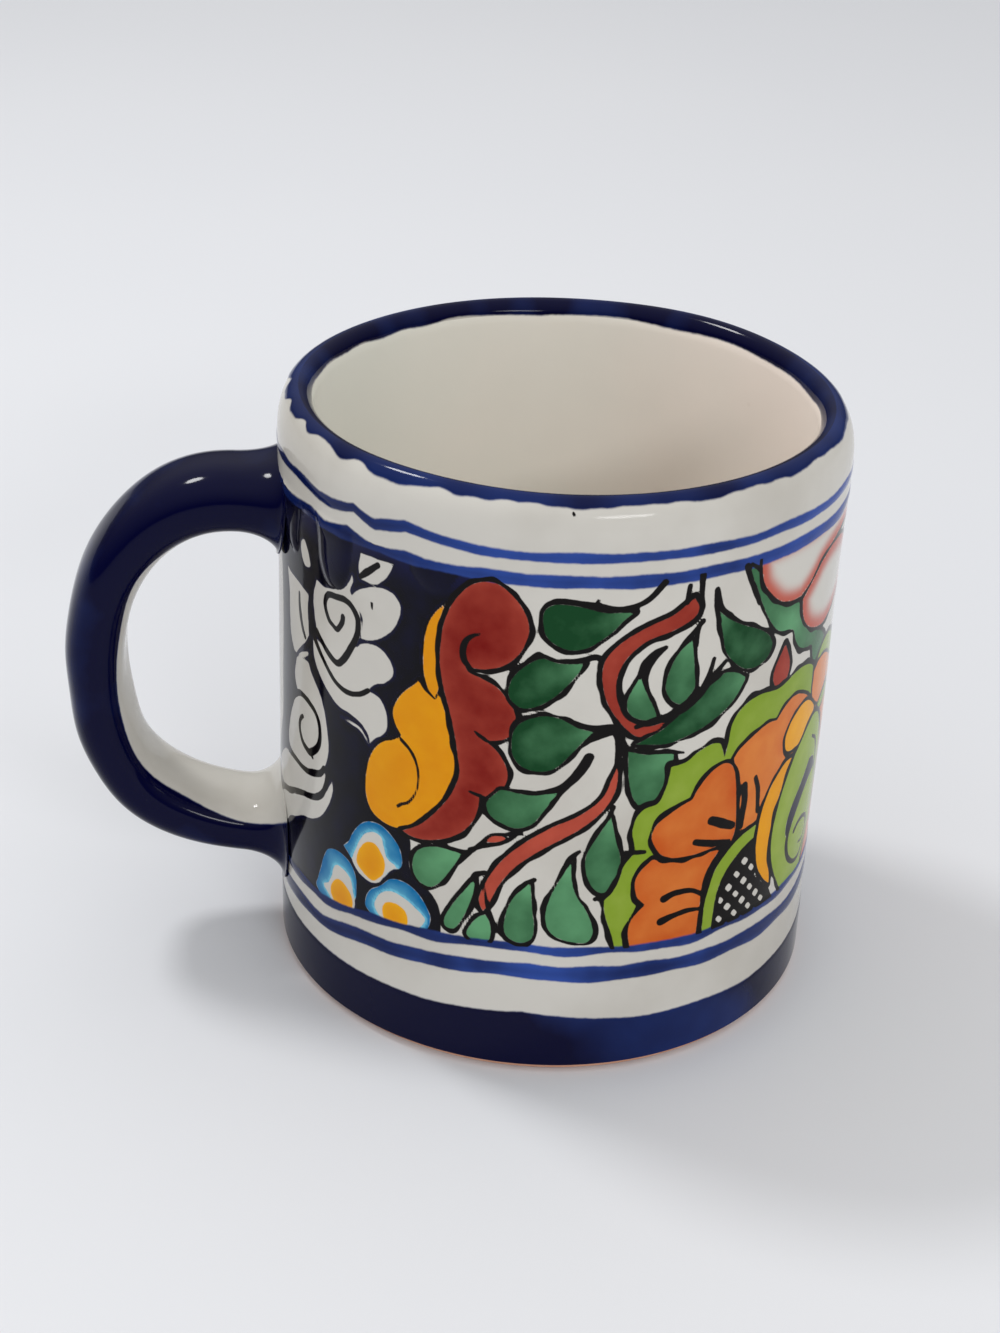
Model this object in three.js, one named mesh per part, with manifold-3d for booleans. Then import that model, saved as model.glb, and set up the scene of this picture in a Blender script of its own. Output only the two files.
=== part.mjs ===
// Painted coffee mug: a formed clay cup, a strap handle luted to it with slip, and the fired glaze coats.
// Millimetres, +Z up. The origin is on the cup's axis in the plane that it stands on, and the handle
// points along -X.

import * as THREE from "three";
import { mergeVertices } from "three/addons/utils/BufferGeometryUtils.js";
import Module from "manifold-3d";

// Driving dimensions of the cup, measured over the glaze
const CUP_HEIGHT = 93;
const CUP_RADIUS = 42.5;
const WALL_THICKNESS = 5.3;
const FLOOR_THICKNESS = 6.9;
const FLOOR_CORNER_RADIUS = 8;
const LIP_CROWN_INSET = 3.1; // from the outside of the wall in to the top of the lip
const LIP_OUTER_DROP = 6; // height over which the outside rounds into the lip
const LIP_INNER_DROP = 3.5; // height over which the lip rounds into the bore

// Foot: a bare clay ring round a shallow recess
const FOOT_BEVEL = 1.2;
const FOOT_RING_WIDTH = 5;
const FOOT_RECESS = 0.6;

// Glaze coats and where their colours change
const COAT = 0.4;
const COAT_GAP = 0.05; // between a coat and what is under it, and between two coats
const FOOT_GLAZE_BOTTOM = 1.4;
const FOOT_GLAZE_TOP = 10;
const RIM_GLAZE_OUTER_TURN = 58; // degrees up the lip's outer curve, from the wall
const RIM_GLAZE_INNER_TURN = 25; // degrees up the lip's inner curve, from the bore

// Handle: a flattened strap whose centre line is two cubic curves, outwards and back
const HANDLE_WIDTH = 16.5;
const HANDLE_DEPTH = 9.2;
const HANDLE_SQUARENESS = 2.6; // exponent of the section's superellipse, where 2 is an ellipse
const HANDLE_STANDOFF = 28; // from the wall out to the centre line at its farthest
const HANDLE_UPPER_DROP = 19.1; // from the lip down to the centre line's upper end, inside the wall
const HANDLE_LOWER_HEIGHT = 19.6; // from the foot up to its lower end, inside the wall
const HANDLE_SWELL_RISE = 3; // its farthest point above the middle of the two ends
const HANDLE_RISE_ANGLE = 23.7; // degrees above level at which its upper end leaves the wall
const HANDLE_UPPER_PULL = 20.8; // reach of each control point along its tangent
const HANDLE_SHOULDER_PULL = 15.6;
const HANDLE_HEEL_PULL = 15;
const HANDLE_LOWER_PULL = 27.6;
const HANDLE_WHITE_TURN = 45; // degrees of the section, each side of the inner face, left white

// Slip that wraps each end of the strap and flares on to the wall. The spreads are how far it stands out
// at the wall, on the loop's outer side, its two edges and its inner side.
const LUTE_REACH = 11; // along the centre line, from its end inside the wall
const LUTE_FLARE_LENGTH = 5.5; // from the wall out to where the flare has died away
const LUTE_WRAP = 1; // depth of the slip on the strap
const UPPER_LUTE_SPREAD = { outer: 3, edge: 1.6, inner: 0.5 };
const LOWER_LUTE_SPREAD = { outer: 3, edge: 2, inner: 4.5 };
const SEAT_GAP = 0.3; // between pieces that are cut to each other

// Facets
const TURN_SEGMENTS = 64;
const CURVE_STEP = 22.5; // degrees between points on the lip and the floor corner
const SECTION_STEP = 18; // degrees between points round the handle
const HANDLE_STEPS = 20;
const LUTE_STEPS = 4;
const EDGE_CLEARANCE = 0.25; // share of a step, nearer than which a colour's edge takes the place of a point
const MERGE_DISTANCE = 1e-4;

// Sizes that follow from the driving dimensions
const BORE_RADIUS = CUP_RADIUS - WALL_THICKNESS;
const CROWN_RADIUS = CUP_RADIUS - LIP_CROWN_INSET;
const CLAY_RADIUS = CUP_RADIUS - COAT;
const COAT_INSIDE = COAT - COAT_GAP;

const { degToRad, radToDeg, clamp } = THREE.MathUtils;
const wasm = await Module();
wasm.setup();

const finish = (color, roughness) => new THREE.MeshStandardMaterial({ color, roughness, metalness: 0 });
const CLAY = finish(0xc99a78, 0.85);
const WHITE = finish(0xe6e2d8, 0.15);
const COBALT = finish(0x14164f, 0.12);

// A closed geometry as a solid that can be cut, and the cut solid as a geometry.
function solidOf(geometry) {
  const bare = new THREE.BufferGeometry();
  bare.setAttribute("position", geometry.getAttribute("position"));
  bare.setIndex(geometry.index);
  const merged = mergeVertices(bare, MERGE_DISTANCE);
  const triangles = [];
  for (let i = 0; i < merged.index.count; i += 3) {
    const [a, b, c] = [0, 1, 2].map((k) => merged.index.getX(i + k));
    if (a !== b && b !== c && c !== a) triangles.push(a, b, c);
  }
  return new wasm.Manifold(
    new wasm.Mesh({
      numProp: 3,
      vertProperties: new Float32Array(merged.getAttribute("position").array),
      triVerts: new Uint32Array(triangles),
    }),
  );
}

function geometryOf(solid) {
  const mesh = solid.getMesh();
  const geometry = new THREE.BufferGeometry();
  geometry.setAttribute("position", new THREE.BufferAttribute(new Float32Array(mesh.vertProperties), 3));
  geometry.setIndex(new THREE.BufferAttribute(new Uint32Array(mesh.triVerts), 1));
  geometry.computeVertexNormals();
  return geometry;
}

function cut(geometry, ...tools) {
  return geometryOf(tools.reduce((solid, tool) => solid.subtract(solidOf(tool)), solidOf(geometry)));
}

// A profile of [radius, height] points turned about the cup's axis.
function turned(profile) {
  const points = profile.map(([radius, height]) => new THREE.Vector2(radius, height));
  return new THREE.LatheGeometry(points, TURN_SEGMENTS).rotateX(Math.PI / 2);
}

// The cup's glazed surface as stops along its profile. Each stop gives its [radius, height] at a depth
// below the glaze, so the same stops shape the coats and the clay under them.
const wallStop = (height) => (depth) => [CUP_RADIUS - depth, height];

const lipOuterStop = (turn) => (depth) => [
  CROWN_RADIUS + (LIP_CROWN_INSET - depth) * Math.cos(degToRad(turn)),
  CUP_HEIGHT - LIP_OUTER_DROP + (LIP_OUTER_DROP - depth) * Math.sin(degToRad(turn)),
];

const lipInnerStop = (turn) => (depth) => [
  CROWN_RADIUS - (CROWN_RADIUS - BORE_RADIUS - depth) * Math.cos(degToRad(turn)),
  CUP_HEIGHT - LIP_INNER_DROP + (LIP_INNER_DROP - depth) * Math.sin(degToRad(turn)),
];

const cornerStop = (turn) => (depth) => [
  BORE_RADIUS - FLOOR_CORNER_RADIUS + (FLOOR_CORNER_RADIUS + depth) * Math.cos(degToRad(turn)),
  FLOOR_THICKNESS + FLOOR_CORNER_RADIUS - (FLOOR_CORNER_RADIUS + depth) * Math.sin(degToRad(turn)),
];

const floorStop = (depth) => [0, FLOOR_THICKNESS - depth];

// The turns of each curve's stops. The edges of the coats are among them, so that every coat lies on the
// same facets as the clay.
const edgeTurn = radToDeg(COAT_GAP / LIP_CROWN_INSET);
const outerEdges = [RIM_GLAZE_OUTER_TURN - edgeTurn, RIM_GLAZE_OUTER_TURN];
const innerEdges = [RIM_GLAZE_INNER_TURN - edgeTurn, RIM_GLAZE_INNER_TURN];

// Evenly spaced angles, with the edges of the colours put in among them.
function withEdges(even, edges, step) {
  const clear = even.filter((angle) => edges.every((edge) => Math.abs(angle - edge) > step * EDGE_CLEARANCE));
  return [...clear, ...edges].sort((a, b) => a - b);
}

function curveTurns(edges = []) {
  const count = Math.round(90 / CURVE_STEP);
  const even = Array.from({ length: count + 1 }, (_, i) => (90 * i) / count);
  return withEdges(even, edges, CURVE_STEP);
}

const lipOuterTurns = curveTurns(outerEdges);
const lipInnerTurns = curveTurns(innerEdges).reverse();
const floorCorner = curveTurns().map(cornerStop);

function makeClayBody() {
  const ringOuter = CLAY_RADIUS - FOOT_BEVEL;
  const ringInner = ringOuter - FOOT_RING_WIDTH;
  const underside = [
    [0, FOOT_RECESS],
    [ringInner - FOOT_RECESS, FOOT_RECESS],
    [ringInner, 0],
    [ringOuter, 0],
    [CLAY_RADIUS, FOOT_BEVEL],
  ];
  const skin = [
    ...lipOuterTurns.map(lipOuterStop),
    ...lipInnerTurns.slice(1).map(lipInnerStop),
    ...floorCorner,
    floorStop,
  ];
  return turned([...underside, ...skin.map((stop) => stop(COAT))]);
}

// A coat that runs round the cup: its outer face is the glazed surface, its inner face just clears the clay.
function ringCoat(stops) {
  const outside = stops.map((stop) => stop(0));
  const inside = stops.map((stop) => stop(COAT_INSIDE)).reverse();
  return turned([...outside, ...inside, outside[0]]);
}

const makeFootGlaze = () => ringCoat([wallStop(FOOT_GLAZE_BOTTOM), wallStop(FOOT_GLAZE_TOP)]);

function makeWallGlaze(holes) {
  const lip = lipOuterTurns.filter((turn) => turn <= outerEdges[0]).map(lipOuterStop);
  return cut(ringCoat([wallStop(FOOT_GLAZE_TOP + COAT_GAP), ...lip]), ...holes);
}

function makeRimGlaze() {
  const outer = lipOuterTurns.filter((turn) => turn >= outerEdges[1]).map(lipOuterStop);
  const inner = lipInnerTurns.filter((turn) => turn >= innerEdges[1]).map(lipInnerStop);
  return ringCoat([...outer, ...inner.slice(1)]);
}

// The coat inside the cup closes over the floor, so its profile ends on the axis.
function makeLinerGlaze() {
  const lip = lipInnerTurns.filter((turn) => turn <= innerEdges[0]).map(lipInnerStop);
  const stops = [...lip, ...floorCorner, floorStop];
  const outside = stops.map((stop) => stop(0));
  const inside = stops.map((stop) => stop(COAT_INSIDE)).reverse();
  return turned([...inside, ...outside]);
}

// The handle's centre line, from inside the wall at the top, out, down and back into the wall.
function handleLine() {
  const root = CUP_RADIUS - WALL_THICKNESS / 2;
  const upper = new THREE.Vector3(-root, 0, CUP_HEIGHT - HANDLE_UPPER_DROP);
  const lower = new THREE.Vector3(-root, 0, HANDLE_LOWER_HEIGHT);
  const farHeight = (upper.z + lower.z) / 2 + HANDLE_SWELL_RISE;
  const far = new THREE.Vector3(-(CUP_RADIUS + HANDLE_STANDOFF), 0, farHeight);
  const rise = degToRad(HANDLE_RISE_ANGLE);
  const upperPull = new THREE.Vector3(-Math.cos(rise), 0, Math.sin(rise)).setLength(HANDLE_UPPER_PULL);
  const shoulderPull = new THREE.Vector3(0, 0, HANDLE_SHOULDER_PULL);
  const heelPull = new THREE.Vector3(0, 0, -HANDLE_HEEL_PULL);
  const lowerPull = new THREE.Vector3(-HANDLE_LOWER_PULL, 0, 0);
  const outwards = [upper, upper.clone().add(upperPull), far.clone().add(shoulderPull), far];
  const back = [far, far.clone().add(heelPull), lower.clone().add(lowerPull), lower];
  const line = new THREE.CurvePath();
  line.add(new THREE.CubicBezierCurve3(...outwards));
  line.add(new THREE.CubicBezierCurve3(...back));
  return line;
}

const line = handleLine();
const lineLength = line.getLength();
const evenly = (from, to, steps) => Array.from({ length: steps }, (_, i) => from + ((to - from) * i) / steps);

// Distances along the centre line at which every handle piece has a section. Each lute ends a seat gap
// short of the step that the strap has there.
const upperStations = [...evenly(0, LUTE_REACH - SEAT_GAP, LUTE_STEPS), LUTE_REACH - SEAT_GAP];
const lowerStations = upperStations.map((distance) => lineLength - distance).reverse();
const middleStations = [...evenly(LUTE_REACH, lineLength - LUTE_REACH, HANDLE_STEPS), lineLength - LUTE_REACH];
const allStations = [...upperStations, ...middleStations, ...lowerStations];

// Section angles: 90 degrees is the loop's outer side and 270 its inner side, which faces the cup.
const INNER_SIDE = 270;
const turnGap = radToDeg(COAT_GAP / (HANDLE_DEPTH / 2));
const whiteAngles = [INNER_SIDE - HANDLE_WHITE_TURN, INNER_SIDE + HANDLE_WHITE_TURN];
const cobaltAngles = [whiteAngles[1] + turnGap, whiteAngles[0] - turnGap + 360];
const colourEdges = [...whiteAngles, cobaltAngles[0], cobaltAngles[1] - 360];
const evenAngles = evenly(0, 360, Math.round(360 / SECTION_STEP));
const allAngles = withEdges(evenAngles, colourEdges, SECTION_STEP);

// The angles of a coat's stretch of the section, which may run on past a full turn.
function anglesBetween([from, to]) {
  const twice = [...allAngles, ...allAngles.map((angle) => angle + 360)];
  return twice.filter((angle) => angle >= from - MERGE_DISTANCE && angle <= to + MERGE_DISTANCE);
}

const power = (value) => Math.sign(value) * Math.abs(value) ** (2 / HANDLE_SQUARENESS);

// How far the lute stands out at the wall on the side of the section that an angle looks to.
function spreadAt(spread, angle) {
  const side = Math.sin(degToRad(angle));
  const towards = side > 0 ? spread.outer : spread.inner;
  return spread.edge + (towards - spread.edge) * side * side;
}

// A point of the handle's surface at a distance along the centre line, an angle of the section and a depth
// below the glaze. With a flare it also stands out towards the wall, as the slip does.
function handlePoint(distance, angle, depth, flared = true) {
  const t = distance / lineLength;
  const centre = line.getPoint(t);
  const tangent = line.getTangent(t);
  const outward = new THREE.Vector3(tangent.z, 0, -tangent.x);
  const at = (extra) => {
    const across = (HANDLE_WIDTH / 2 - depth + extra) * power(Math.cos(degToRad(angle)));
    const out = (HANDLE_DEPTH / 2 - depth + extra) * power(Math.sin(degToRad(angle)));
    return centre.clone().addScaledVector(outward, out).sub(new THREE.Vector3(0, across, 0));
  };
  if (!flared) return at(0);
  const bare = at(depth);
  const fromWall = Math.hypot(bare.x, bare.y) - CUP_RADIUS;
  const spread = distance < lineLength / 2 ? UPPER_LUTE_SPREAD : LOWER_LUTE_SPREAD;
  const left = 1 - clamp(fromWall / LUTE_FLARE_LENGTH, 0, 1);
  return at(spreadAt(spread, angle) * left * left);
}

const handleGrid = (stations, angles, depth, flared) =>
  stations.map((distance) => angles.map((angle) => handlePoint(distance, angle, depth, flared)));

// A geometry from points, four-cornered faces and triangles.
function fromFaces(points, faces, triangles = []) {
  const geometry = new THREE.BufferGeometry().setFromPoints(points);
  geometry.setIndex([...faces.flatMap(([a, b, c, d]) => [a, b, c, a, c, d]), ...triangles]);
  return geometry;
}

// A shell between an outer and an inner grid of points. Its sections close on themselves, or have two edges.
function shell(outer, inner, closed) {
  const rows = outer.length;
  const columns = outer[0].length;
  const points = [...outer.flat(), ...inner.flat()];
  const out = (i, j) => i * columns + (j % columns);
  const into = (i, j) => rows * columns + out(i, j);
  const faces = [];
  for (let j = 0; j < (closed ? columns : columns - 1); j++) {
    for (let i = 0; i < rows - 1; i++) {
      faces.push([out(i, j), out(i, j + 1), out(i + 1, j + 1), out(i + 1, j)]);
      faces.push([into(i, j), into(i + 1, j), into(i + 1, j + 1), into(i, j + 1)]);
    }
    const last = rows - 1;
    faces.push([out(0, j), into(0, j), into(0, j + 1), out(0, j + 1)]);
    faces.push([out(last, j), out(last, j + 1), into(last, j + 1), into(last, j)]);
  }
  for (let i = 0; i < (closed ? 0 : rows - 1); i++) {
    const end = columns - 1;
    faces.push([out(i, 0), out(i + 1, 0), into(i + 1, 0), into(i, 0)]);
    faces.push([out(i, end), into(i, end), into(i + 1, end), out(i + 1, end)]);
  }
  return fromFaces(points, faces);
}

// A solid through a row of closed sections, with a flat face at each end.
function loft(sections) {
  const columns = sections[0].length;
  const last = sections.length - 1;
  const faces = [];
  for (let i = 0; i < last; i++) {
    for (let j = 0; j < columns; j++) {
      const next = (j + 1) % columns;
      const [here, ahead] = [i * columns, (i + 1) * columns];
      faces.push([here + j, here + next, ahead + next, ahead + j]);
    }
  }
  const caps = [];
  for (let j = 1; j < columns - 1; j++) {
    caps.push(0, j + 1, j);
    caps.push(last * columns, last * columns + j, last * columns + j + 1);
  }
  return fromFaces(sections.flat(), faces, caps);
}

// A cylinder on the cup's axis that trims what is joined to the wall.
function trim(radius) {
  return turned([
    [0, -CUP_HEIGHT],
    [radius, -CUP_HEIGHT],
    [radius, 2 * CUP_HEIGHT],
    [0, 2 * CUP_HEIGHT],
  ]);
}

// The strap is stepped down at each end, inside the slip that wraps it.
function makeHandleCore() {
  const wrapped = COAT + LUTE_WRAP;
  const stepped = [
    ...handleGrid([...upperStations, LUTE_REACH], allAngles, wrapped, false),
    ...handleGrid(middleStations, allAngles, COAT, false),
    ...handleGrid([lineLength - LUTE_REACH, ...lowerStations], allAngles, wrapped, false),
  ];
  return cut(loft(stepped), trim(CLAY_RADIUS + SEAT_GAP));
}

function makeLute(stations) {
  const outer = handleGrid(stations, allAngles, COAT);
  const inner = handleGrid(stations, allAngles, COAT + LUTE_WRAP - SEAT_GAP, false);
  return cut(shell(outer, inner, true), trim(CLAY_RADIUS + SEAT_GAP));
}

// The hole that a lute needs in the coat on the wall.
const luteHole = (stations) => loft(handleGrid(stations, allAngles, COAT - SEAT_GAP));

function makeHandleCoat(range) {
  const angles = anglesBetween(range);
  const outer = handleGrid(allStations, angles, 0);
  const inner = handleGrid(allStations, angles, COAT_INSIDE);
  return cut(shell(outer, inner, false), trim(CUP_RADIUS + SEAT_GAP));
}

const mug = new THREE.Group();

function addPiece(name, geometry, material) {
  const mesh = new THREE.Mesh(geometry, material);
  mesh.name = name;
  mug.add(mesh);
}

addPiece("clay_body", makeClayBody(), CLAY);
addPiece("handle_core", makeHandleCore(), CLAY);
addPiece("upper_lute", makeLute(upperStations), CLAY);
addPiece("lower_lute", makeLute(lowerStations), CLAY);
addPiece("liner_glaze", makeLinerGlaze(), WHITE);
addPiece("wall_glaze", makeWallGlaze([luteHole(upperStations), luteHole(lowerStations)]), WHITE);
addPiece("rim_glaze", makeRimGlaze(), COBALT);
addPiece("foot_glaze", makeFootGlaze(), COBALT);
addPiece("handle_cobalt_glaze", makeHandleCoat(cobaltAngles), COBALT);
addPiece("handle_white_glaze", makeHandleCoat(whiteAngles), WHITE);

export default mug;
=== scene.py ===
# A hand-painted coffee mug: a clay body under a white glaze, painted with scrolls, leaves and a flower
# between cobalt lines, with a cobalt rim, foot and handle.
import math

import bpy
import numpy as np
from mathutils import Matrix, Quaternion, Vector


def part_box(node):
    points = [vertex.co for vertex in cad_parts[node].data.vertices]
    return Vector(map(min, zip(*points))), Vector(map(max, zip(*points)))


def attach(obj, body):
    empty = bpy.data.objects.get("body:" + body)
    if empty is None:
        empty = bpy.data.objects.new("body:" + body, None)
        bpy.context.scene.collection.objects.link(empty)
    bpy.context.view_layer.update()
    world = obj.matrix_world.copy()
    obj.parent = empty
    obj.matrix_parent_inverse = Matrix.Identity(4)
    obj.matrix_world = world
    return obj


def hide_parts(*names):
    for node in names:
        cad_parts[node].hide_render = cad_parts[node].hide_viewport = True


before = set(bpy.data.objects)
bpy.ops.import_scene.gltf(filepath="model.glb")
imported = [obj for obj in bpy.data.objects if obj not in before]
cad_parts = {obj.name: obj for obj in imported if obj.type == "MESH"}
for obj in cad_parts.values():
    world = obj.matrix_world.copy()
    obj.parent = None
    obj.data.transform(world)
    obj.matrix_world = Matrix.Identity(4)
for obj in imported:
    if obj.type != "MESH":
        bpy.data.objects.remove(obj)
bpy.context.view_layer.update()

# Sizes in metres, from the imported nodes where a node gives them
MM = 0.001
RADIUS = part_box("wall_glaze")[1].x
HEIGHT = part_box("rim_glaze")[1].z
FOOT_GLAZE_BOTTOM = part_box("foot_glaze")[0].z
FOOT_GLAZE_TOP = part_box("foot_glaze")[1].z
WALL = 5.3 * MM
FLOOR_TOP = 6.9 * MM
FLOOR_CORNER = 8 * MM
LIP_INSET = 3.1 * MM
LIP_OUTER_DROP = 6 * MM
LIP_INNER_DROP = 3.5 * MM
COAT = 0.4 * MM
BORE = RADIUS - WALL
CROWN = RADIUS - LIP_INSET
RIM_OUTER_TURN = math.radians(58)
RIM_INNER_TURN = math.radians(25)
FOOT_BEVEL = 1.2 * MM
FOOT_RING = 5 * MM
FOOT_RECESS = 0.6 * MM
FOOT_SOFTNESS = 0.5 * MM

# Fineness of the meshes
COLUMNS = 832
ROW = 0.32 * MM
LIP_STEP = math.radians(3)
BORE_ROW = 4 * MM
CORNER_STEP = math.radians(7.5)
FLOOR_RING = 5 * MM
PANELS_PER_HALF = 4
CLAY_COLUMNS = 208
CLAY_BASE_RING = 4 * MM
CLAY_BEVEL_STEP = math.radians(11.25)
CLAY_WALL_ROW = 12 * MM
CLAY_BORE_ROW = 15 * MM
CLAY_CURVE_STEP = math.radians(15)
HANDLE_COLUMNS = 144
HANDLE_ROWS = 300
BRUSH_CURVE_STEPS = 7
CREASE = 40
MERGE_DISTANCE = 0.01 * MM

# Depths in millimetres are kept up to this
DEPTH_LIMIT = 3

# Turns
FULL_TURN = 2 * math.pi
QUARTER = math.pi / 2
EIGHTH = math.pi / 4

# A baking map has a free edge, a wide part for the faces in view and a strip for the hidden ones
MAP_EDGE = 0.01
MAP_SHOWN = 0.92
MAP_STRIP_START = 0.95
MAP_STRIP = 0.04

# Waves of a hand-like unevenness
WAVES_PER_LENGTH = 3
WAVE_SPREAD = 1.6


# Modelling helpers
def start_piece(name):
    bpy.ops.object.mode_set(mode="EDIT")
    piece = bpy.context.object
    piece.name = name
    piece.data.name = name
    return piece


def deselect():
    if bpy.context.object and bpy.context.object.mode != "OBJECT":
        bpy.ops.object.mode_set(mode="OBJECT")
    bpy.ops.object.select_all(action="DESELECT")


def select_whole():
    bpy.ops.mesh.select_all(action="SELECT")


def pick(piece):
    deselect()
    bpy.context.view_layer.objects.active = piece
    piece.select_set(True)


def turned(name, stops, columns):
    """A profile of (radius, height) stops, drawn out from one point and spun about the cup's axis.

    An eighth of the round is spun first and then repeated, since a long spin is slow."""
    deselect()
    first = Vector((stops[0][0], 0, stops[0][1]))
    bpy.ops.mesh.primitive_plane_add(size=MM, location=first)
    bpy.ops.object.transform_apply(location=True, rotation=True, scale=True)
    piece = start_piece(name)
    select_whole()
    bpy.ops.mesh.merge(type="CENTER")
    for (r0, z0), (r1, z1) in zip(stops, stops[1:]):
        bpy.ops.mesh.extrude_region_move(TRANSFORM_OT_translate={"value": (r1 - r0, 0, z1 - z0)})
    select_whole()
    bpy.ops.mesh.spin(steps=columns // 8, angle=EIGHTH, center=(0, 0, 0), axis=(0, 0, 1))
    select_whole()
    bpy.ops.mesh.spin(steps=7, dupli=True, angle=7 * EIGHTH, center=(0, 0, 0), axis=(0, 0, 1))
    select_whole()
    bpy.ops.mesh.remove_doubles(threshold=MERGE_DISTANCE)
    bpy.ops.mesh.normals_make_consistent(inside=False)
    bpy.ops.object.mode_set(mode="OBJECT")
    return piece


def gather(items, key, width=1, kind=float):
    flat = np.empty(len(items) * width, dtype=kind)
    items.foreach_get(key, flat)
    return flat


def points_of(piece):
    return gather(piece.data.vertices, "co", 3).reshape(-1, 3)


def move_points(piece, points):
    piece.data.vertices.foreach_set("co", points.ravel())
    piece.data.update()


def normals_of(piece):
    return gather(piece.data.vertex_normals, "vector", 3).reshape(-1, 3)


def face_corners(piece):
    """The point at each corner of the faces, and where each face's corners start."""
    points_at = gather(piece.data.loops, "vertex_index", kind=np.int32)
    return points_at, gather(piece.data.polygons, "loop_start", kind=np.int32)


def keep_attribute(piece, name, values):
    layer = piece.data.attributes.new(name=name, type="FLOAT", domain="POINT")
    layer.data.foreach_set("value", np.asarray(values, dtype=np.float32))


def keep_depth(piece, name, values):
    keep_attribute(piece, name, np.clip(values, -DEPTH_LIMIT, DEPTH_LIMIT))


def apply_modifier(piece, kind, **settings):
    pick(piece)
    modifier = piece.modifiers.new(kind.lower(), kind)
    for key, value in settings.items():
        setattr(modifier, key, value)
    bpy.ops.object.modifier_apply(modifier=modifier.name)


def smooth(piece, degrees=CREASE):
    pick(piece)
    bpy.ops.object.shade_smooth_by_angle(angle=math.radians(degrees))


def bake_map(piece, outer_faces, across_map, along_map, period):
    """A map for baking: the outer faces fill it, and the hidden ones share a strip at its edge."""
    corners, starts = face_corners(piece)
    face = np.searchsorted(starts, np.arange(len(corners)), side="right") - 1
    u = across_map[corners]
    highest = np.maximum.reduceat(u, starts)
    u = np.where(highest[face] - u > period / 2, u + period, u)
    u = (u - u.min()) / (u.max() - u.min())
    v = along_map[corners]
    v = (v - v.min()) / (v.max() - v.min())
    hidden = face >= outer_faces
    layer = piece.data.uv_layers.new(name="OFBake")
    u = np.where(hidden, MAP_STRIP_START + MAP_STRIP * u, MAP_EDGE + MAP_SHOWN * u)
    v = MAP_EDGE + (1 - 2 * MAP_EDGE) * v
    places = np.stack([u, v], axis=1)
    layer.data.foreach_set("uv", places.ravel())


def smoothstep(low, high, value):
    t = np.clip((value - low) / (high - low), 0, 1)
    return t * t * (3 - 2 * t)


def wander(seed, sizes, *coordinates):
    """A smooth hand-like unevenness between about -1 and 1, whose waves have these lengths."""
    chance = np.random.default_rng(seed)
    total = np.zeros(np.shape(coordinates[0]))
    for size in sizes:
        for _ in range(WAVES_PER_LENGTH):
            way = chance.normal(size=len(coordinates))
            way *= FULL_TURN / (size * np.linalg.norm(way))
            phase = chance.uniform(0, FULL_TURN)
            total += np.sin(sum(w * c for w, c in zip(way, coordinates)) + phase)
    return total / (WAVE_SPREAD * math.sqrt(len(sizes)))


# The cup's glazed skin, from the foot up the wall, over the lip, down the bore and across the floor
def evenly(start, end, step):
    count = max(1, round(abs(end - start) / step))
    return [start + (end - start) * i / count for i in range(count + 1)]


def lip_outer(turn):
    return (CROWN + LIP_INSET * math.cos(turn), HEIGHT - LIP_OUTER_DROP * (1 - math.sin(turn)))


def lip_inner(turn):
    return (CROWN - (CROWN - BORE) * math.cos(turn), HEIGHT - LIP_INNER_DROP * (1 - math.sin(turn)))


def floor_corner(turn):
    middle = BORE - FLOOR_CORNER
    return (middle + FLOOR_CORNER * math.cos(turn), FLOOR_TOP + FLOOR_CORNER * (1 - math.sin(turn)))


def skin_stops():
    stops = [(RADIUS, z) for z in evenly(FOOT_GLAZE_BOTTOM, FOOT_GLAZE_TOP, ROW)]
    stops += [(RADIUS, z) for z in evenly(FOOT_GLAZE_TOP, HEIGHT - LIP_OUTER_DROP, ROW)[1:]]
    stops += [lip_outer(t) for t in evenly(0, RIM_OUTER_TURN, LIP_STEP)[1:]]
    stops += [lip_outer(t) for t in evenly(RIM_OUTER_TURN, QUARTER, LIP_STEP)[1:]]
    stops += [lip_inner(t) for t in evenly(QUARTER, RIM_INNER_TURN, LIP_STEP)[1:]]
    stops += [lip_inner(t) for t in evenly(RIM_INNER_TURN, 0, LIP_STEP)[1:]]
    stops += [(BORE, z) for z in evenly(HEIGHT - LIP_INNER_DROP, FLOOR_TOP + FLOOR_CORNER, BORE_ROW)[1:]]
    stops += [floor_corner(t) for t in evenly(0, QUARTER, CORNER_STEP)[1:]]
    stops += [(r, FLOOR_TOP) for r in evenly(BORE - FLOOR_CORNER, 0, FLOOR_RING)[1:]]
    return stops


skin = turned("cup_skin", skin_stops(), COLUMNS)
points = points_of(skin)
around = np.arctan2(-points[:, 1], -points[:, 0])
radius = np.hypot(points[:, 0], points[:, 1])
height = points[:, 2]
on_outside = radius > CROWN - MERGE_DISTANCE
on_wall = on_outside & (height < HEIGHT - 2 * MERGE_DISTANCE)

# Where each point is in the painter's frame, which is in millimetres: along the wall from the handle's plane,
# and up from the table. The back is painted by the same hand, a little otherwise.
FRONT_DRIFT = 0.1
BACK_DRIFT = 1.0
DRIFT_WAVES = (34, 17)
BACK_EASE = 0.5
HALF_ROUND = math.pi * RADIUS / MM
across = np.abs(around) * RADIUS / MM
up = height / MM
ring = np.stack([np.cos(around), np.sin(around)]) * RADIUS / MM
at_back = smoothstep(0, BACK_EASE, -around) * np.sqrt(np.sin(np.abs(around)))
drift = FRONT_DRIFT + BACK_DRIFT * at_back
s = (across + drift * wander(3, DRIFT_WAVES, *ring, up))[on_wall]
z = (up + drift * wander(4, DRIFT_WAVES, *ring, up))[on_wall]

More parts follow.
